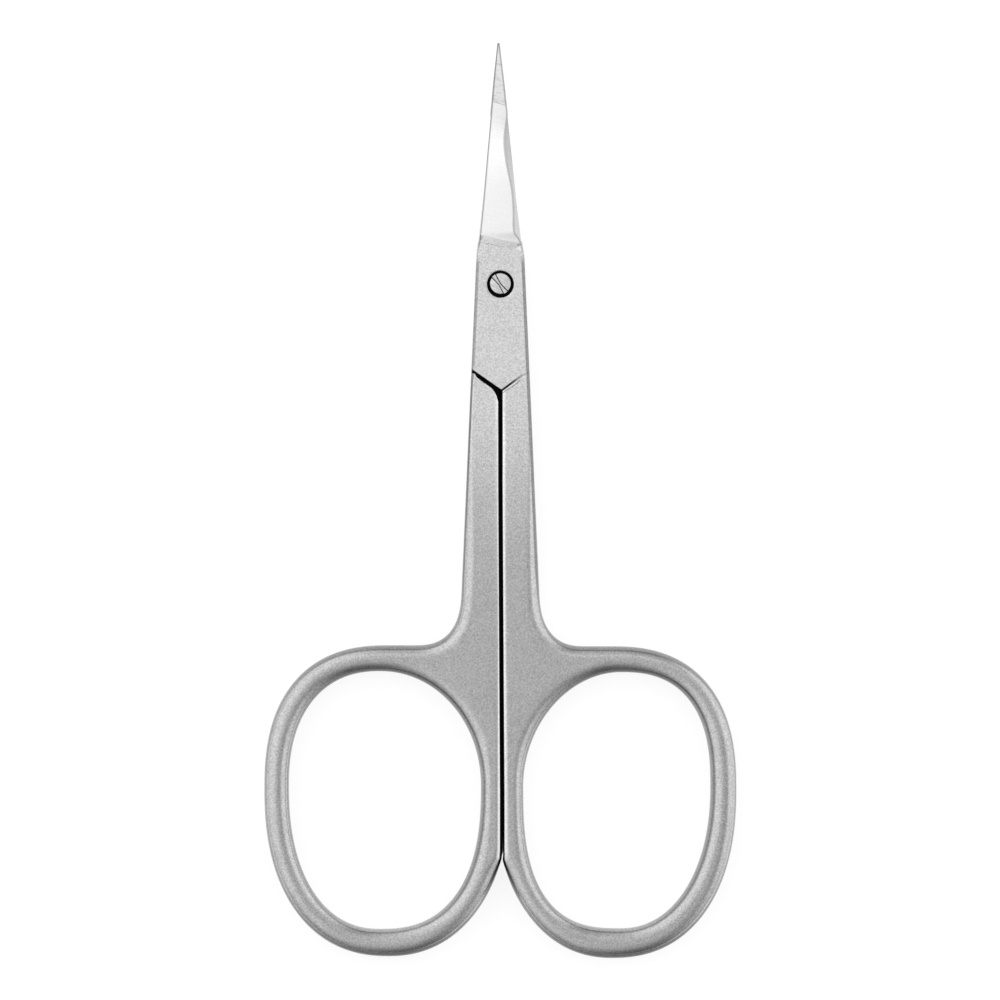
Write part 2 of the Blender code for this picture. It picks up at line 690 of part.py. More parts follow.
def slot_cutter(parent):
    """Cutter for the driver slot, pinched at the middle where the head was staked."""
    plate = THICKNESS - PLATE_STEP
    floor = plate - HEAD_SINK - SLOT_DEPTH
    along = np.linspace(-1.0, 1.0, 9)
    reach = along * (HEAD_RADIUS + CUT_OVERRUN)
    half = lerp(SLOT_WAIST_WIDTH, SLOT_END_WIDTH, np.abs(along) ** SLOT_FLARE_POWER) / 2
    ring = [(u, -w) for u, w in zip(reach, half)] + [(u, w) for u, w in zip(reach, half)][::-1]
    shape = bmesh.new()
    base = [shape.verts.new((u, v, floor)) for u, v in ring]
    lid = [shape.verts.new((u, v, plate + CUT_OVERRUN)) for u, v in ring]
    shape.faces.new(base[::-1])
    shape.faces.new(lid)
    for i in range(len(ring)):
        j = (i + 1) % len(ring)
        shape.faces.new((base[i], base[j], lid[j], lid[i]))
    mesh = bpy.data.meshes.new("slot_cutter")
    shape.to_mesh(mesh)
    shape.free()
    cutter = bpy.data.objects.new("slot_cutter", mesh)
    bpy.context.collection.objects.link(cutter)
    cutter.parent = parent
    cutter.rotation_euler = (0.0, 0.0, math.radians(SLOT_ANGLE))
    cutter.hide_render = True
    cutter.display_type = "WIRE"
    return cutter


def main():
    """Clear the scene and build the scissors."""
    for old in list(bpy.data.objects):
        bpy.data.objects.remove(old, do_unlink=True)
    pivot = bpy.data.objects.new("pivot_axis", None)
    bpy.context.collection.objects.link(pivot)
    pivot.location = (0.0, pivot_y(), 0.0)
    front_steel = make_material("satin_steel_front", (0.52, 0.52, 0.52), 0.40, 1.0)
    back_steel = make_material("satin_steel_back", (0.50, 0.50, 0.50), 0.40, 1.0)
    screw_steel = make_material("screw_steel", (0.58, 0.58, 0.57), 0.30, 1.0)
    front = build_half(FRONT_RING, -TIP_LEAN, True)
    back = build_half(BACK_RING, TIP_LEAN, False)
    add_object("front_half", half_mesh("front_half", front, False), front_steel, pivot)
    add_object("back_half", half_mesh("back_half", back, True), back_steel, pivot)
    screw = add_object("pivot_screw", screw_mesh(), screw_steel, pivot)
    slot = screw.modifiers.new("driver_slot", "BOOLEAN")
    slot.operation = "DIFFERENCE"
    slot.solver = "EXACT"
    slot.object = slot_cutter(pivot)
    bpy.context.view_layer.update()


main()
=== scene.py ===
"""Beauty scissors as photographed: satin forged handles, a slotted screw, fine ground blades.

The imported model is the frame. Each of its three nodes is replaced by a finer piece of the same
form: the two halves are skinned on grids in their own hand frame, and the screw is a turned
profile with a driver slot. In the hand frame u points out to the half's finger ring, v towards
the tips and w from the inner shank face (0) to the outer one; u = v = 0 is the pivot axis.
"""

import logging
import math
from dataclasses import dataclass, field
from enum import Enum
from typing import Any, Callable, Optional, Sequence, Union

import bpy
import numpy as np

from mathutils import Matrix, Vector


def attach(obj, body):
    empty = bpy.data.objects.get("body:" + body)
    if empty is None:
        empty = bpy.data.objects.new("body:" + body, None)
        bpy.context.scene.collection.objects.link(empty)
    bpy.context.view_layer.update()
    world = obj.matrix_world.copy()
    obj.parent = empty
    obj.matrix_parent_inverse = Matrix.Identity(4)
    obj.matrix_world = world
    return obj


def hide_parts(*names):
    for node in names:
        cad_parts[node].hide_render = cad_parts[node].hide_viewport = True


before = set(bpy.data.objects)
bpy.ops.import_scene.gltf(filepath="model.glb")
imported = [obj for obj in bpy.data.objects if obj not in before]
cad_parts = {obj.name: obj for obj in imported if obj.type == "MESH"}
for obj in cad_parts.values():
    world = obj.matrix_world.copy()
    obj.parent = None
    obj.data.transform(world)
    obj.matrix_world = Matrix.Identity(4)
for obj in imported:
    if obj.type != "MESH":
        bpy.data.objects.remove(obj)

MM = 0.001
LOG = logging.getLogger("scissors")
Array = np.ndarray
Number = Union[float, "Wire"]

# Distances in metres below which two points or two levels count as one
SAME_POINT = 1e-9
SAME_LEVEL = 1e-10
QUADRANT_POINTS = 240
GRAIN_DEPTH = 0.000003
PIVOT_Y = 21.655 * MM

# What a mark of distance in mm says where its line is far away
FAR = 9.0


# Small maths shared by the pieces


def lerp(start: Any, end: Any, share: Any) -> Any:
    """A straight mix of two values."""
    return start + (end - start) * share


def smooth(share: Any) -> Array:
    """The S-curve 3s^2 - 2s^3, held at 0 and 1 outside its range."""
    share = np.clip(share, 0.0, 1.0)
    return share * share * (3.0 - 2.0 * share)


def ease(past: Any, run: float, lead: float = 0.5) -> Array:
    """The S-curve over a run that starts before its mark.

    Args:
        past: Distance past the mark.
        run: Length of the run.
        lead: Share of the run that lies before the mark.

    Returns:
        Zero before the run and one after it.
    """
    return smooth(past / run + lead)


def arms(turn: Array) -> Array:
    """Unit vectors in plan at the given turns."""
    return np.stack((np.cos(turn), np.sin(turn)), axis=-1)


def turn_of(arm: Array) -> Array:
    """The turn of each vector in plan."""
    return np.arctan2(arm[:, 1], arm[:, 0])


def unit(arm: Array) -> Array:
    """The vectors in plan at unit length."""
    return arm / np.hypot(arm[:, 0], arm[:, 1])[:, None]


def trace(line: Callable[[Array], Array], start: float, end: float, count: int) -> Array:
    """Points of the line u = line(v), evenly spread from one v to another."""
    v = np.linspace(start, end, count)
    return np.column_stack((line(v), v))


def read(at: Array, places: Array, points: Array, period: Optional[float] = None) -> Array:
    """Points of a polyline at places between those of its vertices."""
    return np.column_stack([np.interp(at, places, points[:, i], period=period) for i in (0, 1)])


def inward_normals(points: Array) -> Array:
    """Unit normals of a closed outline: the mean direction of a point's two sides, turned left.

    Args:
        points: The outline's points in plan, counter-clockwise.

    Returns:
        One unit normal for each point, pointing into the material.
    """
    before = unit(points - np.roll(points, 1, axis=0))
    after = unit(np.roll(points, -1, axis=0) - points)
    along = unit(before + after)
    return np.column_stack((-along[:, 1], along[:, 0]))


def distance_to_sides(points: Array, ring: Array) -> Array:
    """Distance from each point to the nearest side of a closed outline.

    Args:
        points: Places in plan.
        ring: The closed outline's corners.

    Returns:
        One distance for each place.
    """
    start = ring[None, :, :]
    side = np.roll(ring, -1, axis=0)[None, :, :] - start
    toward = points[:, None, :] - start
    share = (toward * side).sum(axis=2) / (side * side).sum(axis=2)
    gap = toward - side * np.clip(share, 0.0, 1.0)[..., None]
    return np.hypot(gap[..., 0], gap[..., 1]).min(axis=1)


def quadrant(centre: Sequence[float], reach: Sequence[float], power: float,
             from_v_axis: bool) -> Array:
    """One quadrant of a super-ellipse: centre + reach * (cos t, sin t) ^ (2 / power).

    Args:
        centre: The middle of the super-ellipse.
        reach: Its half sizes along u and v, with the signs of the quadrant.
        power: Its exponent; 2 is an ellipse, more is squarer.
        from_v_axis: Whether the points run from the v axis to the u axis.

    Returns:
        The points in order, with both ends.
    """
    turn = np.linspace(0.0, math.pi / 2, QUADRANT_POINTS)[::-1 if from_v_axis else 1]
    return np.clip(arms(turn), 0.0, 1.0) ** (2.0 / power) * reach + centre


def square(rows: Array, start: int, stop: int) -> Array:
    """Counter-clockwise loop of numbers round rows start to stop of a grid."""
    return np.concatenate((rows[start], rows[start + 1:stop, -1], rows[stop, ::-1],
                           rows[stop - 1:start:-1, 0]))


class Path:
    """A dense polyline in plan that is read by its length."""

    def __init__(self, *parts: Array) -> None:
        """Join the parts in order, drop doubled points and measure the line.

        Args:
            parts: Rows of points in plan.
        """
        points = np.vstack(parts)
        keep = np.append(True, np.hypot(*np.diff(points, axis=0).T) > SAME_POINT)
        self.points = points[keep]
        self.run = np.append(0.0, np.cumsum(np.hypot(*np.diff(self.points, axis=0).T)))

    def at(self, run: Array) -> Array:
        """Points at the given lengths along the line."""
        return read(run, self.run, self.points)

    def crossing(self, over: Array) -> float:
        """Length at which a value first rises above zero.

        Args:
            over: The value at each vertex.

        Returns:
            The length along the line.
        """
        after = int(np.argmax(over > 0.0))
        share = over[after - 1] / (over[after - 1] - over[after])
        return float(lerp(self.run[after - 1], self.run[after], share))

    def level(self, v: float) -> float:
        """Length at which the line first rises above a place v."""
        return self.crossing(self.points[:, 1] - v + SAME_LEVEL)


def add_object(name: str, data: Any) -> bpy.types.Object:
    """Add an object to the scene, at the origin.

    Args:
        name: Its name.
        data: Its mesh, light or camera.

    Returns:
        The object.
    """
    made = bpy.data.objects.new(name, data)
    bpy.context.scene.collection.objects.link(made)
    return made


def shade_mesh(mesh: bpy.types.Mesh, sharp_degrees: float) -> None:
    """Shade smooth, but for edges that turn by more than an angle."""
    mesh.shade_smooth()
    mesh.set_sharp_from_angle(angle=math.radians(sharp_degrees))


class Skin:
    """Points, faces and marks of one closed piece, gathered as whole arrays."""

    def __init__(self) -> None:
        """Start empty."""
        self.points = np.empty((0, 3))
        self.marks: dict[str, list[Array]] = {}
        self.quads: list[list[int]] = []
        self.fans: list[list[int]] = []

    def add(self, plan: Array, height: Any, marks: dict) -> Array:
        """Add a grid of points.

        Args:
            plan: Places in plan, of shape (..., 2).
            height: Their heights w, broadcast to the grid.
            marks: Values of the marks, which become point attributes, broadcast to the grid.

        Returns:
            The points' numbers, in the shape of the grid.
        """
        shape = plan.shape[:-1]
        height = np.broadcast_to(height, shape)
        points = np.concatenate((plan, height[..., None]), axis=-1).reshape(-1, 3)
        for name, values in marks.items():
            self.marks.setdefault(name, []).append(np.broadcast_to(values, shape).ravel())
        numbers = len(self.points) + np.arange(len(points)).reshape(shape)
        self.points = np.vstack((self.points, points))
        return numbers

    def plan(self, numbers: Array) -> Array:
        """Places in plan of numbered points."""
        return self.points[numbers, :2]

    def weave(self, rows: Array, closed: bool = False, flip: bool = False) -> None:
        """Join a grid of point numbers into quads.

        Args:
            rows: Point numbers, one row after another.
            closed: Whether each row runs back to its start.
            flip: Whether to turn the quads over.
        """
        if closed:
            rows = np.column_stack((rows, rows[:, :1]))
        quads = np.stack((rows[:-1, :-1], rows[:-1, 1:], rows[1:, 1:], rows[1:, :-1]), axis=-1)
        quads = quads.reshape(-1, 4)
        self.quads += (quads[:, ::-1] if flip else quads).tolist()

    def fan(self, hub: int, rim: Array) -> None:
        """Join a row of point numbers to one point by triangles."""
        self.fans += np.column_stack((rim[:-1], rim[1:], np.full(len(rim) - 1, hub))).tolist()

    def tube(self, plan: Array, height: Any, hubs: Array, hub_height: Any) -> "Skin":
        """Join closed rows into a tube, and close its ends with fans.

        Args:
            plan: Places in plan of the rows.
            height: Their heights.
            hubs: Places in plan of the middles of both ends.
            hub_height: The middles' heights.

        Returns:
            The skin itself.
        """
        rows = self.add(plan, height, {})
        self.weave(rows, closed=True)
        ends = self.add(hubs, hub_height, {})
        self.fan(ends[0], np.append(rows[0], rows[0, 0])[::-1])
        self.fan(ends[1], np.append(rows[-1], rows[-1, 0]))
        return self

    def piece(self, name: str, place: Callable[[Array], Array],
              sharp_degrees: float) -> bpy.types.Object:
        """Make the object.

        Args:
            name: The object's name.
            place: Turns hand-frame points into points of the row frame.
            sharp_degrees: Edges that turn more than this stay sharp.

        Returns:
            The new object, at the origin.
        """
        mesh = bpy.data.meshes.new(name)
        mesh.from_pydata(place(self.points).tolist(), [], self.quads + self.fans)
        for mark, values in self.marks.items():
            attribute = mesh.attributes.new(mark, "FLOAT", "POINT")
            attribute.data.foreach_set("value", np.concatenate(values).astype(np.float32))
        mesh.update()
        shade_mesh(mesh, sharp_degrees)
        return add_object(name, mesh)


# Shader maths


def math_method(operation: str, swapped: bool = False) -> Callable[..., "Wire"]:
    """A method of Wire that adds one Math node.

    Args:
        operation: The node's operation.
        swapped: Whether the other value comes first.

    Returns:
        The method, which takes the other value.
    """
    def method(self: "Wire", other: Number) -> "Wire":
        """The operation on this value and the other one."""
        pair = (other, self) if swapped else (self, other)
        return self.sheet.node("ShaderNodeMath", {"operation": operation}, dict(enumerate(pair)))

    return method


class Wire:
    """One output of a node; arithmetic on it adds Math nodes."""

    __add__ = __radd__ = math_method("ADD")
    __sub__, __rsub__ = math_method("SUBTRACT"), math_method("SUBTRACT", True)
    __mul__ = __rmul__ = math_method("MULTIPLY")
    __truediv__ = math_method("DIVIDE")
    lowest, highest = math_method("MINIMUM"), math_method("MAXIMUM")

    def __init__(self, sheet: "Sheet", node: bpy.types.Node, name: Union[int, str] = 0) -> None:
        """Keep the sheet, the node and the output's name."""
        self.sheet, self.node, self.name = sheet, node, name

    def out(self, name: Union[int, str]) -> "Wire":
        """Another output of the same node."""
        return Wire(self.sheet, self.node, name)

    def away(self) -> "Wire":
        """The value without its sign."""
        return self.sheet.node("ShaderNodeMath", {"operation": "ABSOLUTE"}, {0: self})

    def ramp(self, low: float, high: float) -> "Wire":
        """Smooth step from 0 at low to 1 at high."""
        return self.sheet.node("ShaderNodeMapRange", {"interpolation_type": "SMOOTHSTEP"},
                               {0: self, 1: low, 2: high, 3: 0.0, 4: 1.0})

    def swing(self, size: float) -> "Wire":
        """The value's swing about one half, times a size."""
        return (self - 0.5) * size


class Sheet:
    """A node tree that is filled by one method."""

    def __init__(self, owner: Any) -> None:
        """Start with an emptied tree.

        Args:
            owner: The material or world that the tree belongs to.
        """
        owner.use_nodes = True
        self.tree = owner.node_tree
        self.tree.nodes.clear()

    def node(self, kind: str, settings: Optional[dict] = None,
             inputs: Optional[dict] = None) -> Wire:
        """Add a node.

        Args:
            kind: The node's type.
            settings: Values of its properties, set first.
            inputs: Values or wires of its sockets, by number or name.

        Returns:
            The node's first output.
        """
        node = self.tree.nodes.new(kind)
        for key, value in (settings or {}).items():
            setattr(node, key, value)
        for key, value in (inputs or {}).items():
            if isinstance(value, Wire):
                self.tree.links.new(value.node.outputs[value.name], node.inputs[key])
            else:
                node.inputs[key].default_value = value
        return Wire(self, node)

    def mark(self, name: str) -> Wire:
        """One of the skin's marks, a point attribute."""
        return self.node("ShaderNodeAttribute", {"attribute_name": name}).out("Fac")

    def axes(self, space: str) -> Wire:
        """The x, y and z of a texture coordinate, as outputs 0 to 2."""
        return self.node("ShaderNodeSeparateXYZ", None,
                         {0: self.node("ShaderNodeTexCoord").out(space)})

    def bumped_steel(self, tone: Wire, roughness: Wire, height: Wire, more: dict) -> None:
        """End a material with a neutral metal whose grain stands GRAIN_DEPTH high.

        Args:
            tone: Its grey value.
            roughness: Its roughness.
            height: The grain's height from 0 to 1.
            more: Other sockets of the shader.
        """
        bump = self.node("ShaderNodeBump", None, {
            "Strength": 1.0, "Distance": GRAIN_DEPTH, "Height": height})
        grey = self.node("ShaderNodeCombineColor", None, {0: tone, 1: tone, 2: tone})
        shader = self.node("ShaderNodeBsdfPrincipled", None, {
            "Base Color": grey, "Roughness": roughness, "Normal": bump, **more})
        self.node("ShaderNodeOutputMaterial", None, {"Surface": shader})


# Sizes of the forgings


@dataclass(frozen=True)
class RingSizes:
    """Hand-ground sizes of one finger ring."""

    hole_inner: float
    hole_outer: float
    hole_top: float
    hole_bottom: float
    band_outer: float
    band_bottom: float
    parting_lean: float
    hole_powers: tuple


@dataclass(frozen=True)
class HandleSizes:
    """Rings and shanks, the same on both halves."""

    thickness: float = 3.2 * MM
    shank_end: float = 30.8 * MM
    plate_half: float = 2.525 * MM
    shank_half: float = 3.89 * MM
    gap: float = 0.10 * MM
    hole_centre: float = 50.14 * MM
    band_inner: float = 2.07 * MM
    band_top: float = 2.60 * MM
    top_drop: float = 5.40 * MM
    top_run: float = 4.40 * MM
    shift_u: float = 0.85 * MM
    shift_v: float = 0.35 * MM
    overlap: float = 0.85 * MM
    outside_powers: tuple = (2.45, 2.29, 2.18)
    shoulder_power: float = 2.6
    ring_rounding: float = 1.26 * MM
    ring_crown: float = 1.50 * MM
    rounding_share: float = 0.47
    edge_power: float = 2.5
    lean_start_share: float = 0.65
    shank_rounding: float = 1.16 * MM
    shank_crown: float = 1.30 * MM
    corner_lead: float = 2.0 * MM
    gap_rounding: float = 0.48 * MM
    gap_crown: float = 0.30 * MM
    gap_slope: float = 0.30 * MM
    gap_slope_end: float = 10.0 * MM
    gap_slope_fade: float = 1.0 * MM
    gap_mouth: float = 0.15 * MM
    gap_mouth_run: float = 4.0 * MM
    butt_rounding: float = 0.62 * MM
    butt_crown: float = 0.70 * MM
    butt_run_share: float = 0.9
    butt_lead: float = 0.4


@dataclass(frozen=True)
class JointSizes:
    """Joint plate, its step and the shoulder under the other half's plate."""

    lap_gap: float = 0.06 * MM
    step: float = 0.20 * MM
    step_run: float = 0.27 * MM
    heel: float = 8.50 * MM
    crotch: float = 10.56 * MM
    crotch_offset: float = 0.12 * MM
    funnel: float = 1.34 * MM
    funnel_lead: float = 0.2
    clearance: float = 0.42 * MM
    rounding: float = 0.34 * MM
    crown: float = 0.40 * MM
    bore: float = 0.75 * MM
    head_bore: float = 1.34 * MM
    head_floor: float = 2.29 * MM
    rim_break: float = 0.05 * MM
    rim_share: float = 0.3
    patch: float = 2.2 * MM
    heel_cut: float = 0.20 * MM
    heel_share: float = 0.6
    flange: float = 0.26 * MM
    flange_rise: float = 0.60 * MM
    flange_share: float = 0.8
    shoulder: tuple = ((0.30, -11.50), (0.42, -11.12), (0.60, -10.75), (0.91, -10.37),
                       (1.85, -9.69), (2.35, -9.33))

    def mouth(self) -> float:
        """Where the narrow gap opens into the funnel."""
        return -self.crotch - self.funnel


@dataclass(frozen=True)
class BladeSizes:
    """One blade, its plunge from the plate and its upward curve."""

    reach: float = 24.05 * MM
    root: float = 2.90 * MM
    root_thickness: float = 1.02 * MM
    tip_thickness: float = 0.262 * MM
    edge_thickness: float = 0.10 * MM
    edge_rounding: float = 0.03 * MM
    spine_rounding: float = 0.26 * MM
    spine_crown: float = 0.36 * MM
    spine_hollow: float = 0.11 * MM
    tip_half: float = 0.12 * MM
    lean: float = 0.19 * MM
    plunge_setback: float = 0.92 * MM
    plunge_run: float = 0.66 * MM
    plunge_slant: float = 0.22
    crease: float = 18.0 * MM
    crease_slant: float = 0.30
    bend_start: float = 4.0 * MM
    rise: float = 2.6 * MM
    edge_shares: tuple = (
        (0.010, 0.925), (0.079, 0.763), (0.107, 0.600), (0.127, 0.578), (0.204, 0.573),
        (0.262, 0.553), (0.309, 0.517), (0.356, 0.444), (0.451, 0.292), (0.545, 0.231),
        (0.613, 0.291), (0.652, 0.341), (0.735, 0.287), (0.829, 0.210), (0.924, 0.118))


@dataclass(frozen=True)
class Fineness:
    """How many points the grids and the dense lines have."""

    rounding: int = 10
    across: int = 28
    web: int = 6
    even_share: float = 0.1
    seat: int = 8
    ring: int = 440
    shank: int = 110
    funnel: int = 14
    step: int = 8
    heel: int = 34
    plate: int = 24
    patch: int = 36
    root: int = 16
    plunge: int = 18
    blade: int = 130
    tip: int = 60
    gap_line: int = 500
    funnel_line: int = 40
    shoulder_line: int = 80
    plate_line: int = 200
    shank_line: int = 600
    blade_line: int = 900
    sharp_degrees: float = 32.0


@dataclass(frozen=True)
class RimShadeSizes:
    """Painted shade along the rims: width and depth by the way the edge faces: left, right, front,
    back.
    """

    ring: tuple = ((0.26, 0.36), (0.17, 0.40), (0.40, 0.78), (0.50, 0.46))
    hole: tuple = ((0.54, 0.42), (0.20, 0.42), (0.40, 0.78), (0.45, 0.26))
    bar: tuple = ((0.22, 0.60), (0.33, 0.52), (0.30, 0.40), (0.30, 0.20))
    plate: tuple = ((0.36, 0.40), (0.33, 0.50), (0.30, 0.40), (0.30, 0.20))
    # Painted shade on the walls of the handle gap, and at the butt
    wall: tuple = (0.14, 0.62)
    butt: tuple = (0.20, 0.99)
    butt_run: float = 6.0 * MM
    root_run: float = 1.2 * MM
    root_lead: float = 0.9


class Half(Enum):
    """Which half, with its body, node, finish slot and the sign of u along the frame's X."""

    FRONT = ("front", "front_half", "satin_steel_front", 1.0)
    BACK = ("back", "back_half", "satin_steel_back", -1.0)

    def __init__(self, body: str, node: str, finish: str, sign: float) -> None:
        """Keep the names and the sign."""
        self.body, self.node, self.finish, self.sign = body, node, finish, sign


@dataclass
class Forging:
    """One half: finger ring, shank, joint plate and blade, skinned as one closed piece."""

    half: Half
    ring: RingSizes
    handle: HandleSizes = HandleSizes()
    joint: JointSizes = JointSizes()
    blade: BladeSizes = BladeSizes()
    rim: RimShadeSizes = RimShadeSizes()
    fine: Fineness = Fineness()
    skin: Skin = field(default_factory=Skin)

    # Plan

    def side(self, v: Any) -> Any:
        """Half width of plate and shank: the plate's, widening evenly down the shank."""
        slope = (self.handle.shank_half - self.handle.plate_half) / self.handle.shank_end
        return self.handle.plate_half - slope * v

    def parting(self, v: Any) -> Any:
        """The inner side: half the handle gap, plus the ring's lean below the shank."""
        down = np.clip(-v / self.handle.shank_end - self.handle.lean_start_share, 0.0, 1.0)
        return self.handle.gap / 2 + self.ring.parting_lean * down

    def hole_centre(self) -> Array:
        """Middle of the finger hole."""
        v = -self.handle.hole_centre
        return np.array((self.parting(v) + self.handle.band_inner + self.ring.hole_inner, v))

    def hole(self) -> Array:
        """The finger hole: four super-ellipse quadrants.

        Returns:
            Points in plan, counter-clockwise.
        """
        ring = self.ring
        corners = zip((ring.hole_outer, -ring.hole_inner, -ring.hole_inner, ring.hole_outer),
                      (ring.hole_top, ring.hole_top, -ring.hole_bottom, -ring.hole_bottom),
                      (1, 0, 3, 2), (False, True, False, True))
        return np.vstack([quadrant(self.hole_centre(), (u, v), ring.hole_powers[i], way)[:-1]
                          for u, v, i, way in corners])

    def ring_outside(self) -> Path:
        """The ring's outside from the parting line round to the end of the shank.

        Three super-ellipse quadrants, a flat top and a concave super-ellipse corner that follows
        the shank's taper.

        Returns:
            The line, counter-clockwise.
        """
        handle, ring = self.handle, self.ring
        hole_u, hole_v = self.hole_centre()
        centre = np.array((hole_u - handle.shift_u, hole_v - handle.shift_v))
        out = hole_u + ring.hole_outer + ring.band_outer - centre[0]
        top = hole_v + ring.hole_top + handle.band_top - centre[1]
        bottom = centre[1] - (hole_v - ring.hole_bottom - ring.band_bottom)
        inward = centre[0] - self.parting(centre[1]) + handle.overlap
        power = handle.outside_powers
        low_inner = quadrant(centre, (-inward, -bottom), power[2], False)
        low_inner = low_inner[low_inner[:, 0] > self.parting(low_inner[:, 1])]
        corner_v = centre[1] + top + handle.top_drop
        corner_u = self.side(corner_v) + handle.top_run
        corner = quadrant((corner_u, corner_v), (-handle.top_run, -handle.top_drop),
                          handle.shoulder_power, True)
        corner[:, 0] += self.side(corner[:, 1]) - self.side(corner_v)
        return Path(low_inner, quadrant(centre, (out, -bottom), power[1], True),
                    quadrant(centre, (out, top), power[0], False), corner)

    def blade_axis(self, v: Any) -> Any:
        """Middle line of the blade, which leans to the same side of the frame on both halves."""
        return -self.blade.lean * self.half.sign * v / self.blade.reach

    def up_blade(self, v: Any) -> Any:
        """Share of the way from the blade's root to its tip."""
        return np.clip((v - self.blade.root) / (self.blade.reach - self.blade.root), 0.0, 1.0)

    def spine(self, v: Any) -> Any:
        """Back of the blade: straight to the tip but for a hollow of the form s(1 - s)^2.

        Args:
            v: Places along the blade.

        Returns:
            The back's u at those places.
        """
        share = self.up_blade(v)
        hollow = self.blade.spine_hollow * 27 / 4 * share * (1.0 - share) ** 2
        reach = lerp(self.side(self.blade.root), self.blade.tip_half, share)
        return self.blade_axis(v) + hollow - reach

    def edge(self, v: Any) -> Any:
        """Cutting edge: a cubic Hermite curve through the listed shares of the plate's width.

        Args:
            v: Places along the blade.

        Returns:
            The edge's u at those places.
        """
        blade = self.blade
        shares = np.array(blade.edge_shares)
        along = lerp(blade.root, blade.reach, np.append(shares[:, 0], 1.0))
        out = np.append(shares[:, 1] * self.handle.plate_half, blade.tip_half)
        slope = np.gradient(out, along)
        place = np.clip(np.searchsorted(along, v) - 1, 0, len(along) - 2)
        run = along[place + 1] - along[place]
        t = np.clip((v - along[place]) / run, 0.0, 1.0)
        curve = ((2 * t ** 3 - 3 * t ** 2 + 1) * out[place]
                 + (t ** 3 - 2 * t ** 2 + t) * run * slope[place]
                 + (3 * t ** 2 - 2 * t ** 3) * out[place + 1]
                 + (t ** 3 - t ** 2) * run * slope[place + 1])
        return self.blade_axis(v) + curve

    def past_plunge(self, u: Any, v: Any) -> Any:
        """Distance up the blade from the slanted line where the plate's face ends."""
        return v - (self.blade.root + self.blade.plunge_setback - self.blade.plunge_slant * u)

    def past_crease(self, u: Any, v: Any) -> Any:
        """Distance up the blade from the slanted line where the tip's own grind begins."""
        return v - self.blade.crease + self.blade.crease_slant * u

    def past_step(self, u: Any, v: Any) -> Any:
        """Distance past the step between plate and shank, along the shank.

        Args:
            u: Places across the half.
            v: Places along it.

        Returns:
            The distance, above zero on the shank.
        """
        joint = self.joint
        reach = (self.side(-joint.heel) - joint.crotch_offset, joint.crotch - joint.heel)
        across = (u - joint.crotch_offset) * reach[1] - (v + joint.crotch) * reach[0]
        return across / math.hypot(*reach)

    # Heights

    def lap(self) -> float:
        """Height of the lap face."""
        return (self.handle.thickness + self.joint.lap_gap) / 2

    def face(self, u: Array, v: Array) -> Array:
        """Height of the outer face over the plan.

        The shank steps down to the plate over a short ramp, the plate falls evenly to the blade,
        and the blade is lap + mix(edge, back thickness) straight across.

        Args:
            u: Places across.
            v: Places along.

        Returns:
            The heights.
        """
        joint, blade = self.joint, self.blade
        plate = self.handle.thickness - joint.step
        ramp = smooth(self.past_step(u, v) / joint.step_run)
        flat = lerp(plate, self.handle.thickness, ramp)
        up = np.clip(v, blade.root, blade.reach)
        spine, edge = self.spine(up), self.edge(up)
        across = np.clip((edge - u) / (edge - spine), 0.0, 1.0)
        thick = lerp(blade.root_thickness, blade.tip_thickness, self.up_blade(v))
        ground = self.lap() + lerp(blade.edge_thickness, thick, across)
        past = self.past_plunge(u, v)
        run = np.clip(past / blade.plunge_run, 0.0, 1.0)
        return np.where(past > 0.0, lerp(plate, ground, run), flat)

    # Stations

    def boundaries(self) -> tuple:
        """The bar's two sides going up, and the ring's outside from one to the other.

        The right side starts at the concave corner above the ring, where the polar angle about
        the finger hole of the rounding's inner side is greatest, and the left side starts level
        with it.

        Returns:
            The left side over gap, funnel, plate and blade back; the right side over shank, plate
            and cutting edge; the ring's path between their starts; and the length of that path
            that still lies on the parting line.
        """
        joint, blade, fine = self.joint, self.blade, self.fine
        outside = self.ring_outside().points
        arm = outside + inward_normals(outside) * self.handle.corner_lead - self.hole_centre()
        split = int(np.argmax(np.where((arm[:, 0] < 0.0) & (arm[:, 1] > 0.0), turn_of(arm), 0.0)))
        gap = trace(self.parting, outside[split, 1], joint.mouth(), fine.gap_line)
        lower = trace(self.parting, outside[split, 1], outside[0, 1], fine.gap_line)
        crotch = np.array((joint.crotch_offset, -joint.crotch))
        cut, foot = joint.heel_cut, -joint.heel
        heel = np.array((-self.side(foot) + cut, foot - cut / 2))
        end = blade.reach - blade.tip_half
        left = Path(gap, np.linspace(gap[-1], crotch, fine.funnel_line),
                    np.linspace(crotch, heel, fine.shoulder_line),
                    trace(lambda v: -self.side(v), foot + cut / 2, blade.root, fine.plate_line),
                    trace(self.spine, blade.root, end, fine.blade_line))
        edge_start = lerp(blade.root, blade.reach, blade.edge_shares[0][0])
        right = Path(outside[split:],
                     trace(self.side, outside[-1, 1], blade.root, fine.shank_line),
                     trace(self.edge, edge_start, end, fine.blade_line))
        return left, right, Path(lower, outside[:split + 1]), Path(lower).run[-1]

    def stations(self, left: Path, right: Path) -> tuple:
        """Cross lines from web to tip, evenly spread between key places of the two sides.

        Args:
            left: The bar's left side.
            right: The bar's right side.

        Returns:
            Left ends, right ends, and the numbers of the key stations.
        """
        joint, blade, fine = self.joint, self.blade, self.fine

        def level(left_v: float, right_v: float) -> tuple:
            """Where each side rises above a place v."""
            return left.level(left_v), right.level(right_v)

        def both(value: Callable[[Array, Array], Array]) -> tuple:
            """Where a rising value of the plan crosses zero on each side."""
            return tuple(path.crossing(value(*path.points.T)) for path in (left, right))

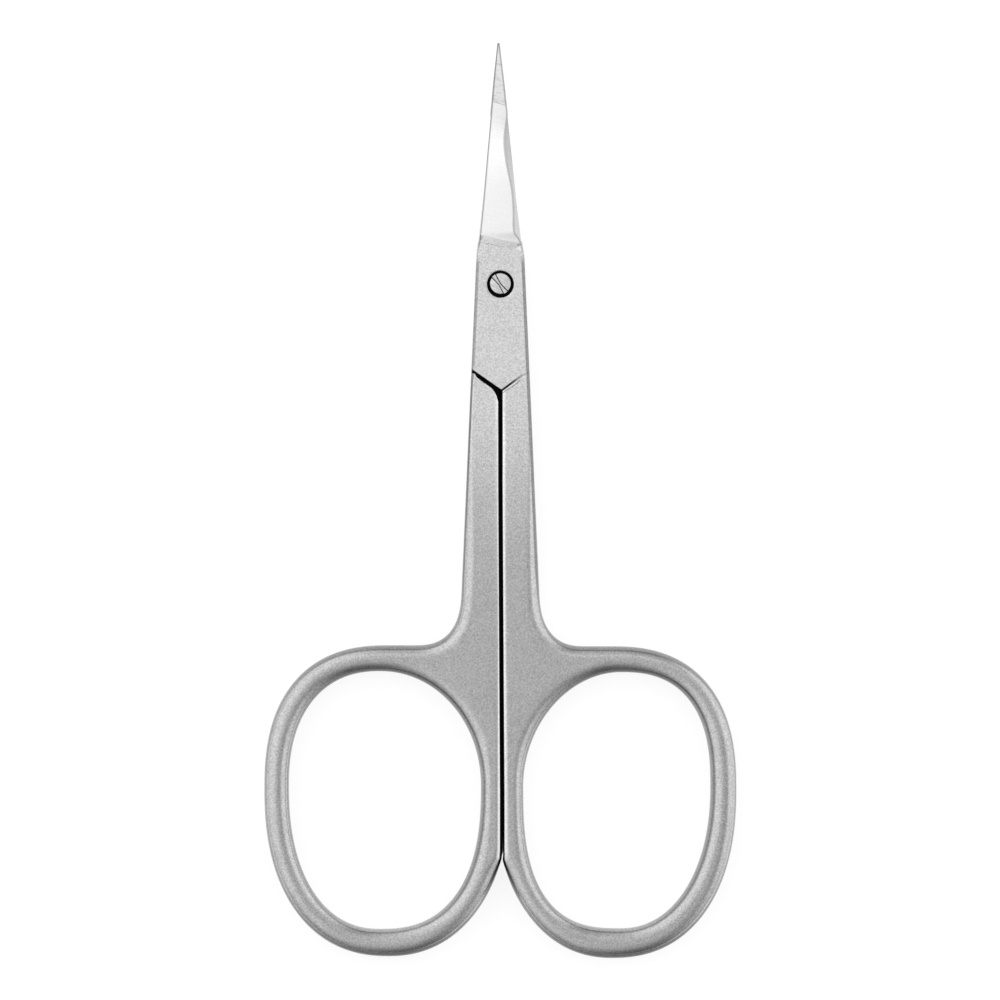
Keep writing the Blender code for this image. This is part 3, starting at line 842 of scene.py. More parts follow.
        names, ends, steps = zip(
            ("web", (0.0, 0.0), fine.shank),
            ("shoulder", level(joint.mouth(), -joint.heel - joint.clearance), fine.funnel),
            ("ramp", both(lambda u, v: joint.step_run - self.past_step(u, v)), fine.step),
            ("crotch", level(-joint.crotch, -joint.heel), fine.heel),
            ("heel", level(-joint.heel, -joint.heel * joint.heel_share), fine.plate),
            ("screw_low", level(-joint.patch, -joint.patch), fine.patch),
            ("screw_high", level(joint.patch, joint.patch), fine.root),
            ("plunge", both(self.past_plunge), fine.plunge),
            ("ground", both(lambda u, v: self.past_plunge(u, v) - blade.plunge_run), fine.blade),
            ("crease", both(self.past_crease), fine.tip),
            ("tip", (left.run[-1], right.run[-1]), 1),
        )
        ends = np.array(ends)
        runs = [lerp(here, there, np.linspace(0.0, 1.0, count, endpoint=False)[:, None])
                for here, there, count in zip(ends, ends[1:], steps)]
        runs = np.vstack((*runs, ends[-1]))
        return left.at(runs[:, 0]), right.at(runs[:, 1]), dict(zip(names, np.cumsum((0, *steps))))

    def ring_edge(self, points: Array, other: Array) -> Array:
        """Rounding of the ring's band, over nearly half of its width.

        Args:
            points: Points along one side of the band.
            other: The outline of the other side.

        Returns:
            Width and height of the rounding at each point.
        """
        near = self.handle.rounding_share * distance_to_sides(points, other)
        near = np.minimum(near, self.handle.ring_rounding)
        return np.column_stack((near, np.full(len(points), self.handle.ring_crown)))

    def rounding(self, left: Array, right: Array, ring: Array, past_butt: Array,
                 hole: Array) -> tuple:
        """Width across the face and height down the side of the edge rounding.

        The gap side is tight and opens out by the rings, the ring's band is rounded over nearly
        half its width, the shank's outer edge narrows evenly to the plate's, the blade's back
        fades to the tip, and the cutting edge and the heel are nearly sharp.

        Args:
            left: Left ends of the stations.
            right: Right ends of the stations.
            ring: Points round the ring.
            past_butt: How far along the ring's path they are past the parting line.
            hole: The finger hole.

        Returns:
            Width and height for left, ring and right points, as three arrays of pairs.
        """
        handle, joint, blade, mouth = self.handle, self.joint, self.blade, self.joint.mouth()
        sharp = np.array((blade.edge_rounding, blade.edge_rounding))
        plate = np.array((joint.rounding, joint.crown))

        def gap_side(points: Array) -> Array:
            """The inner edge: from the tight gap to the open butt by the rings.

            Args:
                points: Places along the edge.

            Returns:
                Width and height at each point.
            """
            v = points[:, 1]
            run = smooth((-v - handle.shank_end) / (handle.shank_end * handle.butt_run_share))
            width = lerp(handle.gap_rounding, handle.butt_rounding, run)
            width = lerp(width, handle.gap_mouth, smooth((v - mouth) / handle.gap_mouth_run + 1.0))
            near = handle.rounding_share * distance_to_sides(points, hole)
            crown = lerp(handle.gap_crown, handle.butt_crown, run)
            return np.column_stack((np.minimum(width, near), crown))

        def outer_side(points: Array) -> Array:
            """The outer edge of plate, shank and ring.

            Args:
                points: Places along the edge.

            Returns:
                Width and height at each point.
            """
            v = points[:, 1:]
            down = smooth((mouth - v) / (mouth + handle.shank_end))
            shank = lerp(plate, np.array((handle.shank_rounding, handle.shank_crown)), down)
            return lerp(shank, self.ring_edge(points, hole),
                        smooth((-handle.shank_end - v) / handle.top_drop))

        fade = np.sqrt(np.clip((blade.reach - left[:, 1]) / blade.reach, 0.0, 1.0))
        back = np.column_stack((lerp(blade.edge_rounding, blade.spine_rounding, fade),
                                lerp(blade.tip_thickness / 2, blade.spine_crown, fade)))
        v = left[:, 1:]
        lefts = lerp(gap_side(left), sharp, ease(v - mouth, joint.funnel, joint.funnel_lead))
        lefts = lerp(lefts, plate, ease(v + joint.heel, joint.rounding, 0.0))
        lefts = lerp(lefts, back, ease(v - blade.root, blade.plunge_setback))
        rights = lerp(outer_side(right), sharp, ease(right[:, 1:] - blade.root, joint.rounding))
        share = ease(past_butt, handle.shank_half, handle.butt_lead)[:, None]
        return lefts, lerp(gap_side(ring), outer_side(ring), share), rights

    # Skin

    def rims(self, points: Array, normal: Array, past_butt: Array, ring: tuple) -> Array:
        """Width and depth of the painted shade along the outline's rim.

        Both are means over the four ways, weighed by the squares of the outward normal's parts.
        Rings and bars have their own values, past the butt the deep gap fades to the ring's, and
        the plate's rims end at the blade's root.

        Args:
            points: The outline.
            normal: Its normals into the material.
            past_butt: Distance along the ring past the butt.
            ring: The ring's widths and depths by the way it faces.

        Returns:
            One pair of width in mm and depth for each point.
        """
        out = -normal * (self.half.sign, 1.0)
        ways = np.clip(np.hstack((-out, out))[:, (0, 2, 1, 3)], 0.0, None) ** 2
        v = points[:, 1:]
        up = ease(v + self.joint.heel, self.joint.funnel, 1.0)
        down = ease(-self.handle.shank_end - v, self.handle.top_drop)
        along = lerp(ways @ np.array(self.rim.bar), ways @ np.array(self.rim.plate), up)
        along = lerp(along, ways @ np.array(ring), down)
        along[:, 1:] *= 1.0 - ease(v - self.blade.root, self.rim.root_run, self.rim.root_lead)
        return lerp(np.array(self.rim.butt), along,
                    smooth(past_butt / self.rim.butt_run)[:, None])

    def grid(self, plan: Array, level: Any = None, **kinds: Any) -> Array:
        """Add a grid of points with what the finish reads: distances in mm, and kinds of face.

        Args:
            plan: Places in plan.
            level: Their heights, or None on the outer face.
            kinds: Marks that differ from those of a plain face.

        Returns:
            The points' numbers, in the shape of the grid.
        """
        u, v = plan[..., 0], plan[..., 1]
        on_blade = v > self.blade.root
        to_edge = np.where(on_blade, self.edge(v), self.side(v)) - u
        to_spine = u - np.where(on_blade, self.spine(v), -self.side(v))
        # The gap, rim and seat marks lead the finish's painted shade, and the gap mark also its
        # painted highlight at the gap's edges
        marks = {
            "past_plunge": self.past_plunge(u, v) / MM, "past_step": self.past_step(u, v) / MM,
            "past_crease": self.past_crease(u, v) / MM, "to_edge": to_edge / MM,
            "to_spine": to_spine / MM,
            "to_gap": np.where(v < -self.joint.crotch, (u - self.parting(v)) / MM, FAR),
            "lap_face": 0.0, "rim": FAR, "rim_depth": 0.0, "seat": 0.0, **kinds}
        return self.skin.add(plan, self.face(u, v) if level is None else level, marks)

    def rounded(self, side: Array, normal: Array, size: Array, rim: Array, outer: bool) -> Array:
        """Rows of a rounded edge, from the side wall in to the face: a super-ellipse quadrant.

        A row at turn t lies width * (1 - cos(t) ^ e) in from the side and crown * (1 - sin(t) ^ e)
        off the face, where e is 2 / edge_power.

        Args:
            side: Points along the side.
            normal: Their normals into the material.
            size: Width and crown at each point.
            rim: Width in mm and depth of the painted shade along the rim at each point.
            outer: Whether the face is the outer one.

        Returns:
            The points' numbers, one row for each turn.
        """
        turn = np.linspace(0.0, math.pi / 2, self.fine.rounding + 1)
        shares = 1.0 - arms(turn) ** (2.0 / self.handle.edge_power)
        inward, fall = (size[:, i] * shares[:, i:i + 1] for i in (0, 1))
        plan = side + normal * inward[..., None]
        height = self.face(plan[..., 0], plan[..., 1]) - fall if outer else fall
        # The rim marks carry the painted shade along this edge
        return self.grid(plan, height, rim=inward / (rim[:, 0] * MM), rim_depth=rim[:, 1])

    def fill(self, first: Array, last: Array, count: int, level: Optional[float] = None,
             shift: Any = 0.0) -> Array:
        """Rows evenly spread between two rows of points: lerp(first, last, i / count) + shift.

        Args:
            first: Numbers of the first row.
            last: Numbers of the last row.
            count: Number of steps from the one to the other.
            level: Height of the new rows, or None on the outer face.
            shift: Shift of the new rows in plan.

        Returns:
            The numbers of all rows, with the first and the last.
        """
        share = np.linspace(0.0, 1.0, count + 1)[1:-1, None, None]
        plan = lerp(self.skin.plan(first), self.skin.plan(last), share) + shift
        rows = self.grid(plan, level, lap_face=1.0 if level else 0.0)
        return np.vstack((first[None], rows, last[None]))

    def flange(self, points: Array) -> Array:
        """How far the plate's foot reaches across the crotch, so that no light falls through.

        The reach along u is the flange times an S-curve that rises past the funnel's start and
        falls off past the crotch.

        Args:
            points: The outline.

        Returns:
            The reach at each point, as plan vectors.
        """
        joint, (u, v) = self.joint, points.T
        share = smooth((v - joint.mouth()) / joint.flange_rise)
        fall = joint.funnel * joint.flange_share - joint.crotch
        share = share * smooth((fall - v) / joint.flange_rise)
        return np.column_stack((joint.flange * share * (u < joint.clearance), 0.0 * share))

    def weave_ring(self, outline: Array, hole: Array, top: Array, low: Array) -> None:
        """The finger ring: rows run from the outer loop over the hole's edge and back beneath.

        Args:
            outline: The half's outline.
            hole: The finger hole, counter-clockwise.
            top: Numbers of the loop round the ring on the outer face.
            low: The same loop on the inner face.
        """
        fine, circle, centre = self.fine, 2 * math.pi, self.hole_centre()
        turn = np.maximum.accumulate(np.unwrap(turn_of(self.skin.plan(top) - centre)))
        even = turn[0] + np.arange(len(turn)) * circle / len(turn)
        side = read(lerp(turn, even, fine.even_share), turn_of(hole - centre), hole, circle)
        normal = -inward_normals(side)
        # Painted shade along the hole's rims
        rim = self.rims(side, normal, np.full(len(side), self.rim.butt_run), self.rim.hole)
        size = self.ring_edge(side, outline)
        high_edge, low_edge = (self.rounded(side, normal, size, rim, outer)
                               for outer in (True, False))
        above = self.fill(top, high_edge[-1], fine.web)
        below = self.fill(low, low_edge[-1], fine.web, 0.0)
        self.skin.weave(np.vstack((above, high_edge[-2::-1], low_edge[:-1], below[::-1])),
                        closed=True)

    def weave_bore(self, top: Array, lap: Array) -> None:
        """The screw's seat: rows run in to the rim, down the bore and out along the lap face.

        Args:
            top: Numbers of the square loop round the bore on the outer face.
            lap: The same loop on the lap face.
        """
        circle = arms(turn_of(self.skin.plan(top)))
        # Rows marked as seat get painted shade
        rows = [self.grid(circle * radius, height, seat=seat)
                for radius, height, seat in self.bore_profile()]
        above = self.fill(top, rows[0], self.fine.seat)
        below = self.fill(lap, rows[-1], self.fine.seat, self.lap())
        self.skin.weave(np.vstack((above, rows[1:-1], below[::-1])), closed=True)

    def bore_profile(self) -> tuple:
        """The way down the bore: a broken rim and, in the front half, the head's flat seat.

        Returns:
            Radius, height and seat mark of each row; the seat mark is painted shade in the screw's
            seat and bore.
        """
        joint = self.joint
        front = self.half is Half.FRONT
        plate = self.handle.thickness - joint.step
        rim = joint.head_bore if front else joint.bore
        small = joint.rim_break * joint.rim_share
        seat = ((rim, joint.head_floor, 1.0), (joint.bore, joint.head_floor, 1.0)) if front else ()
        return ((rim + joint.rim_break, plate, 0.0), (rim + small, plate - small, 0.0),
                (rim, plate - joint.rim_break, 1.0), *seat, (joint.bore, self.lap(), 1.0))

    def place(self, points: Array) -> Array:
        """Hand-frame points in the row frame, with the blade bent up.

        The back half is turned half a turn about the v axis. The bend adds rise * share ^ 2, where
        share is the way from bend start to tip along the radius from the pivot. The gap's walls
        lean to the right on their way down by gap_slope * (1 - height / thickness), so that no
        light falls through above the place where the rings part.

        Args:
            points: Hand-frame points.

        Returns:
            The placed points.
        """
        blade, joint, handle, sign = self.blade, self.joint, self.handle, self.half.sign
        u, v, w = points.T
        height = w if sign > 0 else handle.thickness - w
        share = (np.hypot(u, v) - blade.bend_start) / (blade.reach - blade.bend_start)
        rise = np.where(v > 0.0, blade.rise * np.clip(share, 0.0, None) ** 2, 0.0)
        near = 1.0 - smooth((u - self.parting(v)) / handle.shank_rounding)
        near = near * smooth((-handle.gap_slope_end - v) / joint.funnel)
        near = near * smooth((v - self.ring_outside().points[0, 1]) / handle.gap_slope_fade)
        slide = handle.gap_slope * (1.0 - height / handle.thickness) * near
        return np.column_stack((sign * u + slide, v + PIVOT_Y, height + rise))

    def build(self) -> bpy.types.Object:
        """Skin the half as one closed surface and make its piece.

        The outline runs counter-clockwise from the funnel down the gap, round the ring, up to the
        tip and back. Rounded edges lead from it to the faces, and cross lines fill the faces.

        Returns:
            The piece.
        """
        fine, skin = self.fine, self.skin
        left_path, right_path, ring_path, butt = self.boundaries()
        left, right, marks = self.stations(left_path, right_path)
        first, last, heel = marks["shoulder"], marks["tip"], marks["heel"]
        ring_run = np.linspace(0.0, ring_path.run[-1], fine.ring + 2)[1:-1]
        ring, hole = ring_path.at(ring_run), self.hole()
        turn = np.linspace(0.0, math.pi, fine.across + 1)[1:-1]
        tip = arms(turn) * ((right[-1] - left[-1])[0] / 2, self.blade.tip_half)
        tip = tip + (left[-1] + right[-1]) / 2
        outline = np.vstack((left[first::-1], ring, right, tip, left[:first:-1]))
        lefts, around, rights = self.rounding(left, right, ring, ring_run - butt, hole)
        tips = lerp(rights[-1:], lefts[-1:], turn[:, None] / math.pi)
        size = np.vstack((lefts[first::-1], around, rights, tips, lefts[:first:-1]))

        stations = np.arange(last + 1)
        at_left = np.where(stations <= first, first - stations, len(outline) + first - stations)
        at_right = first + 1 + fine.ring + stations
        at_tip = np.arange(at_right[-1], at_right[-1] + fine.across + 1)[::-1]
        normal = inward_normals(outline)
        past_butt = np.full(len(outline), self.rim.butt_run)
        past_butt[first + 1:first + 1 + fine.ring] = ring_run - butt
        # Painted shade along the rims, with its own depth on the handle gap's walls and none on
        # the ground blade
        rim = self.rims(outline, normal, past_butt, self.rim.ring)
        in_gap = (np.arange(first + 1), at_left[first + 1:marks["crotch"]],
                  first + 1 + np.flatnonzero(ring_run < butt))
        rim[np.concatenate(in_gap)] = self.rim.wall
        rim[at_right[marks["ground"]]:at_left[marks["ground"]], 1] = 0.0
        high = self.rounded(outline, normal, size, rim, True)
        # The side walls take the rim's painted shade at full depth
        side = self.grid(outline, self.lap(), rim=0.0, rim_depth=rim[:, 1], to_gap=FAR)
        skin.points[side, :2] -= self.flange(outline)
        handle = slice(0, at_right[first] + 1)
        low = self.rounded(outline[handle], normal[handle], size[handle], rim[handle], False)
        skin.weave(np.vstack((side[None], high)), closed=True)
        skin.weave(np.vstack((low[::-1], side[None, handle])))

        # Outer face
        top = self.fill(high[-1, at_left[:-1]], high[-1, at_right[:-1]], fine.across).T
        top = np.vstack((top, high[-1, at_tip]))
        start, stop = marks["screw_low"], marks["screw_high"]
        skin.weave(top[:start + 1])
        skin.weave(top[stop:])

        # Shoulder, and the inner faces that lead up to it
        share = np.linspace(0.0, 1.0, fine.across + 1)[1:-1]
        foot = skin.plan(low[-1, [at_left[first], at_right[first]]])
        line = Path(foot[:1], np.array(self.joint.shoulder) * MM, foot[1:])
        bent = line.at(share * line.run[-1])[:, None]
        share = share[:, None, None]
        fade = smooth((stations[:first + 1, None] - first + fine.funnel) / fine.funnel)
        lower = self.fill(low[-1, at_left[:first + 1]], low[-1, at_right[:first + 1]],
                          fine.across, 0.0, fade * (bent - lerp(foot[0], foot[1], share))).T
        skin.weave(lower, flip=True)
        fade = 1.0 - smooth((stations[first:-1, None] - first) / (heel - first))
        lap = self.fill(side[at_left[first:-1]], side[at_right[first:-1]], fine.across,
                        self.lap(), fade * (bent - lerp(left[first], right[first], share))).T
        lap = np.vstack((lap, side[at_tip]))
        skin.weave(lap[:start - first + 1], flip=True)
        skin.weave(lap[stop - first:], flip=True)
        skin.weave(np.vstack((lower[-1, ::-1], lap[0, ::-1])))
        skin.fan(lap[0, -1], low[:, at_right[first]])
        skin.fan(lap[0, 0], low[::-1, at_left[first]])

        # Ring and bore
        loop = np.arange(at_left[0], at_right[0] + 1)
        self.weave_ring(outline, hole, np.append(high[-1, loop], top[0, -2:0:-1]),
                        np.append(low[-1, loop], lower[0, -2:0:-1]))
        self.weave_bore(square(top, start, stop), square(lap, start - first, stop - first))
        return skin.piece(f"{self.half.node}_forging", self.place, fine.sharp_degrees)


@dataclass
class PivotScrew:
    """The turned screw with its staked driver slot, pinched at the middle."""

    radius: float = 0.72 * MM
    tail: float = 0.23 * MM
    chamfer: float = 0.08 * MM
    head_radius: float = 1.05 * MM
    head_top: float = 2.94 * MM
    head_thickness: float = 0.62 * MM
    head_shift: float = 0.06 * MM
    slot_depth: float = 0.28 * MM
    slot_end: float = 0.68 * MM
    slot_waist: float = 0.27 * MM
    slot_offset: float = -0.09 * MM
    slot_draft: float = 0.075 * MM
    slot_break: float = 0.035 * MM
    slot_power: float = 1.5
    slot_degrees: float = -54.0
    overrun: float = 0.30 * MM
    around: int = 128
    arc_points: int = 6
    slot_rows: int = 41
    sharp_degrees: float = 30.0
    flat_normal: float = 0.6

    def body(self) -> Skin:
        """The body of revolution: a profile with arcs for chamfers, carried round the axis.

        Returns:
            A closed tube of rings from the tail up to the head.
        """
        bottom = self.head_top - self.head_thickness
        turn = np.linspace(0.0, math.pi / 2, self.arc_points)
        arc = np.column_stack((np.sin(turn), 1.0 - np.cos(turn))) * self.chamfer
        tail = arc + (self.radius - self.chamfer, self.tail)
        head = (arc * (1.0, -1.0))[::-1] + (self.head_radius - self.chamfer, self.head_top)
        profile = np.vstack((tail, (self.radius, bottom), (self.head_radius, bottom), head))
        circle = arms(np.linspace(0.0, 2 * math.pi, self.around, endpoint=False))
        return Skin().tube(circle * profile[:, :1, None], profile[:, 1:],
                           np.zeros((2, 2)), profile[[0, -1], 1])

    def cutter(self) -> Skin:
        """The slot: half width mix(waist, end, |s| ^ power), drafted walls, broken top edges.

        Returns:
            A closed tube of cross sections along the slot.
        """
        along = np.linspace(-1.0, 1.0, self.slot_rows)
        half = lerp(self.slot_waist, self.slot_end, np.abs(along) ** self.slot_power) / 2
        deep, out, draft = -self.slot_depth, self.slot_break, -self.slot_draft
        signs = np.array((-1.0, 1.0, 1.0, 1.0, 1.0, -1.0, -1.0, -1.0))
        grow = np.array((draft, draft, 0.0, out, out * 3, out * 3, out, 0.0))
        heights = np.array((deep, deep, -out, 0.0, out * 2, out * 2, 0.0, -out)) + self.head_top
        across = signs * (half[:, None] + grow) + self.slot_offset
        reach = along[:, None] * (self.head_radius + self.overrun) + 0.0 * across
        angle = math.radians(self.slot_degrees)
        cos, sin = math.cos(angle), math.sin(angle)
        plan = np.stack((reach * cos - across * sin, reach * sin + across * cos), axis=-1)
        return Skin().tube(plan, heights, plan[[0, -1]].mean(axis=1), self.head_top + deep / 2)

    def place(self, points: Array) -> Array:
        """Points at the pivot, the head a little off the middle of its seat.

        Args:
            points: Points about the screw's own axis.

        Returns:
            The placed points.
        """
        on_head = points[:, 2] > self.head_top - self.head_thickness - self.slot_break
        shift = PIVOT_Y + np.where(on_head, self.head_shift, 0.0)
        return points + shift[:, None] * (0.0, 1.0, 0.0)

    def build(self) -> bpy.types.Object:
        """Cut the slot from the turned body, mark its walls for painted shade and make the piece.

        Returns:
            The piece.
        """
        piece = self.body().piece("pivot_screw_turned", self.place, self.sharp_degrees)
        tool = self.cutter().piece("slot_tool", self.place, self.sharp_degrees)
        cut = piece.modifiers.new("slot", "BOOLEAN")
        cut.object, cut.operation, cut.solver = tool, "DIFFERENCE", "EXACT"
        graph = bpy.context.evaluated_depsgraph_get()
        mesh = bpy.data.meshes.new_from_object(piece.evaluated_get(graph))
        piece.modifiers.clear()
        old, piece.data = piece.data, mesh
        bpy.data.meshes.remove(old)
        bpy.data.objects.remove(tool)
        shade_mesh(mesh, self.sharp_degrees)
        # Steep faces, the slot's walls and the turned sides, are marked for painted shade
        steep = np.array([face.normal.z for face in mesh.polygons]) < self.flat_normal
        mesh.attributes.new("wall", "FLOAT", "FACE").data.foreach_set("value", steep.astype(float))
        return piece


# Finishes


# Turn of even grain, so that no flat face lies along the noise's own lattice
ASKEW = (0.6, 0.45, 0.3)
GRINDING = (0.0, 0.0, 0.22)
BRUSHING = (0.0, 0.0, math.radians(30.0))
FINE = 5600.0
BROAD = FINE / 26


@dataclass(frozen=True)
class Grain:
    """Noise by its waves per metre along each axis, its detail and the turn of its axes."""

    per_m: tuple
    detail: float = 2.0
    turn: tuple = ASKEW

    def on(self, sheet: Sheet) -> Wire:
        """Add the noise on turned Object coordinates.

        Args:
            sheet: The node tree to add to.

        Returns:
            The noise, from 0 to 1.
        """
        place = sheet.node("ShaderNodeTexCoord").out("Object")
        place = sheet.node("ShaderNodeMapping", None, {"Vector": place, "Rotation": self.turn})
        place = sheet.node("ShaderNodeVectorMath", {"operation": "MULTIPLY"},
                           {0: place, 1: self.per_m})
        return sheet.node("ShaderNodeTexNoise", None,
                          {"Vector": place, "Scale": 1.0, "Detail": self.detail}).out("Fac")


@dataclass(frozen=True)
class Stroke:
    """A thin line by the distance from it in mm: full up to one, gone from another, its depth."""

    full: float
    gone: float
    depth: float = 1.0

    def on(self, distance: Wire) -> Wire:
        """The line's depth at a distance."""
        return (1.0 - distance.ramp(self.full, self.gone)) * self.depth


@dataclass(frozen=True)
class SatinSteel:
    """Bead-blasted forging with a polished ground blade and cross-ground lap faces, and painted
    shade and highlights at its gap, rims, seat, creases and edges.
    """

    name: str
    satin: float = 0.55
    cut: float = 0.58
    polish: float = 0.81
    satin_roughness: float = 0.26
    polish_roughness: float = 0.20
    tip_roughness: float = 0.08
    grain: Grain = Grain((FINE,) * 3)
    cloud: Grain = Grain((BROAD,) * 3)
    blotch: Grain = Grain((BROAD * 4,) * 3, 1.0)
    lines: Grain = Grain((BROAD * 2, FINE * 4.0, BROAD), 2.0, GRINDING)
    scratches: Grain = Grain((BROAD * 5.0, FINE * 0.8, BROAD), 2.0, GRINDING)
    # Painted shade lines along spine, cutting edge, plunge edge, crease and step foot; the burr
    # line is a real mark
    spine_shade_line: Stroke = Stroke(0.03, 0.085, 0.58)
    edge_shade_line: Stroke = Stroke(0.12, 0.22, 0.42)
    root_shade_line: Stroke = Stroke(0.015, 0.06, 0.42)
    crease_shade_line: Stroke = Stroke(0.02, 0.07, 0.30)
    step_shade_line: Stroke = Stroke(0.08, 0.13)
    burr_line: Stroke = Stroke(0.02, 0.075, 0.65)
    # Painted shade in the handle gap
    gap_line: Stroke = Stroke(0.165, 0.200, 0.99)
    # Painted highlight along the gap's edges
    gap_glint_highlight: Stroke = Stroke(0.22, 0.60, 0.26)
    rim_shade_line: Stroke = Stroke(0.80, 1.15)
    # Lift of the painted highlight on the step's ramp
    step_facet_highlight: float = 0.14
    # Depth of the painted shade in the screw's seat and the crevice
    deep: float = 0.98

    def material(self) -> bpy.types.Material:
        """Build the material from the skin's marks and from noise; ramp limits are in mm.

        Returns:
            The material.
        """
        material = bpy.data.materials.new(self.name)
        sheet = Sheet(material)
        grain, cloud, blotch, lines, scratches = (noise.on(sheet) for noise in (
            self.grain, self.cloud, self.blotch, self.lines, self.scratches))
        past_plunge, past_step, past_crease, to_edge, to_spine, to_gap, lap_mark = (
            sheet.mark(name) for name in ("past_plunge", "past_step", "past_crease", "to_edge",
                                          "to_spine", "to_gap", "lap_face"))

        # Where each finish lies
        ends = 1.0 - to_spine.ramp(0.20, 0.62).lowest(to_edge.ramp(0.25, 0.60))
        blade = (past_plunge + ends * 0.62).ramp(0.58, 0.72)
        lap = lap_mark.ramp(0.4, 0.6)
        outer = 1.0 - lap
        tip = past_crease.ramp(-0.05, 0.05) * blade
        ground = blade * outer
        # Painted sheen on the plunge slope: lighter and less metallic
        plunge = past_plunge.ramp(-0.05, 0.02) * (1.0 - blade) * outer
        # Painted highlight on the step's ramp
        facet = past_step.ramp(0.05, 0.09) * (1.0 - past_step.ramp(0.24, 0.30)) * outer
        facet = facet * to_edge.ramp(0.5, 0.7)

        # Tones
        satin = self.satin + grain.swing(0.55) + cloud.swing(0.05) + blotch.swing(0.06)
        cut = self.cut + lines.swing(0.25)
        coarse = scratches.ramp(0.50, 0.70) * 0.16 + grain.swing(0.25) + 0.04
        polished = self.polish + lines.swing(0.08) + grain.swing(0.10) - coarse * tip
        tone = satin * (1.0 - ground) * outer + cut * lap + polished * ground
        # Painted highlights on the step's ramp and at the gap's edges, then a painted sheen on the
        # plunge slope
        tone = tone + facet * self.step_facet_highlight + self.gap_glint_highlight.on(to_gap)
        tone = tone + plunge * (0.30 + ends * 0.12)

        # Thin lines of the ground blade and of the step: painted shade along the spine's rounding,
        # the cutting edge, the plunge's edge, the tip's grind line and the step's foot; the burr
        # is a real mark
        inner_line = (0.172 - past_plunge * 0.0125).highest(0.06)
        spine = self.spine_shade_line.on((to_spine - inner_line).away()) * past_plunge.ramp(-1.2, -0.2)
        edge = self.edge_shade_line.on(to_edge) * past_plunge.ramp(-0.3, 0.1)
        root = self.root_shade_line.on((past_plunge + 0.04).away())
        root = root * to_spine.ramp(0.75, 1.0) * (1.0 - to_spine.ramp(1.6, 4.2))
        crease = self.crease_shade_line.on(past_crease.away())
        crease = crease * to_spine.ramp(0.10, 0.20) * to_edge.ramp(0.10, 0.20)
        step = self.step_shade_line.on((past_step - 0.04).away()) * to_edge.ramp(0.62, 0.75)
        step = step * (0.97 - to_spine.ramp(3.9, 5.2) * 0.6)
        wander = blotch.swing(0.35) + grain.swing(0.16)
        burr = self.burr_line.on((past_step - 0.33 + wander).away()) * to_edge.ramp(0.85, 1.05)

        # Painted shade in deep places: the handle gap, the rims, the screw's seat and the crevice
        # on the lap face by the shoulder
        gap = self.gap_line.on(to_gap)
        rim = self.rim_shade_line.on(sheet.mark("rim")) * sheet.mark("rim_depth")
        seat = sheet.mark("seat").ramp(0.3, 0.7) * self.deep
        crevice_shade = lap_mark.ramp(0.05, 0.30) * past_step.ramp(-0.45, -0.30) * self.deep
        for dark in (gap, rim, seat, crevice_shade):
            tone = tone * (1.0 - dark)
        # The painted shade lines and the real burr darken the outer face
        for line in (spine, edge, root, crease, step, burr):
            tone = tone * (1.0 - line * outer)

        # The painted shade in gap, seat and crevice is also made rough and hardly metallic
        deep = gap.highest(seat).highest(crevice_shade)
        rough = lerp(self.satin_roughness, self.polish_roughness, ground)
        rough = (rough + cloud.swing(0.06) + tip * self.tip_roughness).highest(deep)
        height = grain * (1.0 - ground) * outer + lines * (ground * 0.25 + lap * 0.8)
        sheet.bumped_steel(tone, rough, height + scratches * tip * 0.6, {
            "Metallic": 1.0 - deep * 0.95 - plunge * (0.55 + ends * 0.3),
            "Specular IOR Level": 0.1})
        return material


@dataclass(frozen=True)
class TurnedSteel:
    """Brushed screw steel, with painted shade on the slot's walls and its other steep faces."""

    name: str
    tone: float = 0.56
    roughness: float = 0.34
    brushed: Grain = Grain((1500.0, 9000.0, 1500.0), 3.0, BRUSHING)
    grain: Grain = Grain((7000.0,) * 3)
    slot_wall_shade: float = 0.95

    def material(self) -> bpy.types.Material:
        """Build the material: straight brushing across the head and a fine grain.

        Returns:
            The material.
        """
        material = bpy.data.materials.new(self.name)
        sheet = Sheet(material)
        brushed, grain = self.brushed.on(sheet), self.grain.on(sheet)
        tone = self.tone + brushed.swing(0.60) + grain.swing(0.24)
        # Painted shade on the steep faces marked wall
        tone = tone * (1.0 - sheet.mark("wall") * self.slot_wall_shade)
        sheet.bumped_steel(tone, self.roughness + grain.swing(0.1), brushed + grain * 0.5,
                           {"Metallic": 1.0})
        return material


# Studio


@dataclass(frozen=True)
class Lamp:
    """One soft box: its middle, what it looks at, its sides and its plain radiance."""

    name: str
    middle: tuple
    aim: tuple
    size: tuple
    radiance: float
    spread_degrees: float = 60.0

    def build(self) -> None:
        """Add the area lamp; its power is pi * area * radiance."""
        light = bpy.data.lights.new(self.name, "AREA")
        light.shape = "RECTANGLE"
        light.size, light.size_y = self.size
        light.energy = math.pi * self.size[0] * self.size[1] * self.radiance
        light.spread = math.radians(self.spread_degrees)
        lamp = add_object(self.name, light)
        lamp.location = self.middle
        sight = Vector(self.aim) - Vector(self.middle)
        lamp.rotation_euler = sight.to_track_quat("-Z", "Y").to_euler()
        lamp.visible_camera = False


